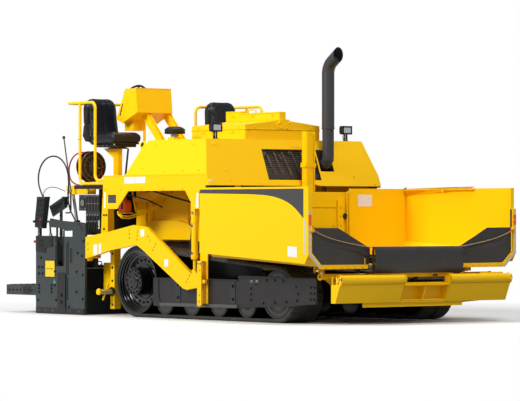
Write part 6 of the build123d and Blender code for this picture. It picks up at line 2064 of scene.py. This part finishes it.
for y in (-0.85, -0.62, -0.40):
    valves.box((at(-1.118), at(-1.109)), (y - 0.09, y + 0.09), (1.10, 1.50), charcoal)
    for z in (1.13, 1.47):
        valves.bolt((at(-1.118), y - 0.06, z), (-1, 0, 0), 0.02, zinc)
    for k in range(6):
        valves.box((at(-1.122), at(-1.117)), (y - 0.07, y + 0.07),
                   (1.18 + 0.045 * k, 1.19 + 0.045 * k), charcoal)
valves.finish("valve_fittings", "tractor", "black_paint", bevel=0.0012)

# %% Hose reel
reel = Shape()
reel_y, reel_z = -1.135, 1.935
hub = Vector((at(-0.958), reel_y, reel_z))
for x, way in ((-0.958, 1), (-1.070, -1)):
    base = Vector((at(x), reel_y, reel_z))
    reel.turned(base, (way, 0, 0), [(0, 0.150), (0.003, 0.146), (0.003, 0.136), (0, 0.132)],
                reel_paint, 48)
    rim = ring(base - Vector((way * 0.006, 0, 0)), (1, 0, 0), 0.194, 64)
    reel.along(rim + rim[:2], lambda k: 0.0085, reel_paint, 8)
    for place in ring(base, (1, 0, 0), 0.165, 12, 0.13):
        spoke = (place - base).normalized()
        reel.rod(base + spoke * 0.075, base + spoke * 0.186, 0.0042, reel_paint, 6)
    for place in ring(base, (1, 0, 0), 0.055, 6):
        reel.bolt(place, (way, 0, 0), 0.016, zinc)
    reel.turned(base, (way, 0, 0), [(0, 0.075), (0.006, 0.072), (0.010, 0.045), (0.018, 0.040),
                                    (0.022, 0.022), (0.022, 0)], cast_iron, 32)
for layer, radius in enumerate((0.130, 0.150)):
    coils = 4
    path = [Vector((at(-1.046 + 0.020 * layer * 0.5 + 0.074 * k / (coils * 24)),
                    reel_y + radius * cos(2 * pi * k / 24), reel_z + radius * sin(2 * pi * k / 24)))
            for k in range(coils * 24 + 1)]
    reel.along(path, lambda k: 0.0098, red_jacket, 8)
crank = hub + Vector((0.022, 0.10, -0.03))
reel.rod(hub + Vector((0.018, 0, 0)), crank, 0.008, zinc, 10)
reel.rod(crank, crank + Vector((0.07, 0, 0)), 0.011, black_plastic, 14)
for z in (1.74, 1.80):
    for y in (-1.165, -1.105):
        reel.bolt((at(-1.090), y, z), (-1, 0, 0), 0.018, yellow)
reel.box((at(-1.10), at(-0.95)), (-1.195, -1.075), (1.690, 1.702), yellow)
reel.box((at(-1.094), at(-1.074)), (-1.190, -1.080), (1.700, 1.745), yellow)
reel.finish("hose_reel_fittings", "tractor", "black_paint")

# %% Rear frame: post bolts, auger drive case and jack handles
rear, post_y, jack_x, jack_z = Shape(), 1.150, at(-0.520), 0.310
for s in (-1, 1):
    for x, z in ((-0.515, 0.14), (-0.515, 0.45), (-0.515, 0.62), (-0.515, 0.80), (-0.560, 0.90),
                 (-0.640, 1.05), (-0.700, 1.12), (-0.650, 1.30), (-0.700, 1.30), (-0.650, 1.50),
                 (-0.700, 1.50)):
        rear.bolt((at(x), s * post_y, z), (0, s, 0), 0.026, charcoal)
    rear.box((at(-0.700), at(-0.645)), (s * post_y, s * 1.1525), (1.40, 1.45), white_film)
    # Screw jack: a threaded rod through a block, with a yellow crank.
    rear.turned((jack_x, s * post_y, jack_z), (0, s, 0),
                [(0, 0.060), (0.018, 0.060), (0.022, 0.048), (0.022, 0.032)], charcoal, 28)
    for i in range(13):
        rear.turned((jack_x, s * (1.185 + 0.012 * i), jack_z), (0, s, 0),
                    [(0, 0.0315), (0.003, 0.0345), (0.006, 0.0315)], worn_steel, 20)
    rear.turned((jack_x, s * 1.352, jack_z), (0, s, 0), collar(0.032, 0.046, 0.014), yellow, 6)
    for end, way in (((at(-0.470), s * 1.25, 0.417), 1), ((at(-0.584), s * 1.25, 0.202), -1)):
        rear.turned(end, (0.42 * way, 0, 0.9 * way), [(-0.05, 0.010), (-0.045, 0.014), (0.0, 0.014),
                                                      (0.004, 0.010), (0.004, 0)], yellow, 14)
    for x in (-0.83, -0.50):
        for z in (0.34, 0.50, 0.64):
            rear.bolt((at(x), s * 1.040, z), (0, -s, 0), 0.022, charcoal)
for place in ring((at(-0.800), 0, 0.360), (0, 1, 0), 0.062, 8):
    for s in (-1, 1):
        rear.bolt(place + Vector((0, s * 0.050, 0)), (0, s, 0), 0.016, zinc)
rear.box((at(-0.846), at(-0.754)), (-0.046, 0.046), (0.288, 0.300), charcoal)
for y in (-0.8, -0.5, -0.2, 0.2, 0.5, 0.8):
    rear.bolt((at(-0.800), y, 0.680), (0, 0, 1), 0.024, charcoal)
    rear.box((at(-0.852), at(-0.828)), (y - 0.006, y + 0.006), (0.615, 0.676), charcoal)
rear.finish("rear_frame_fittings", "tractor", "charcoal", bevel=0.0015)
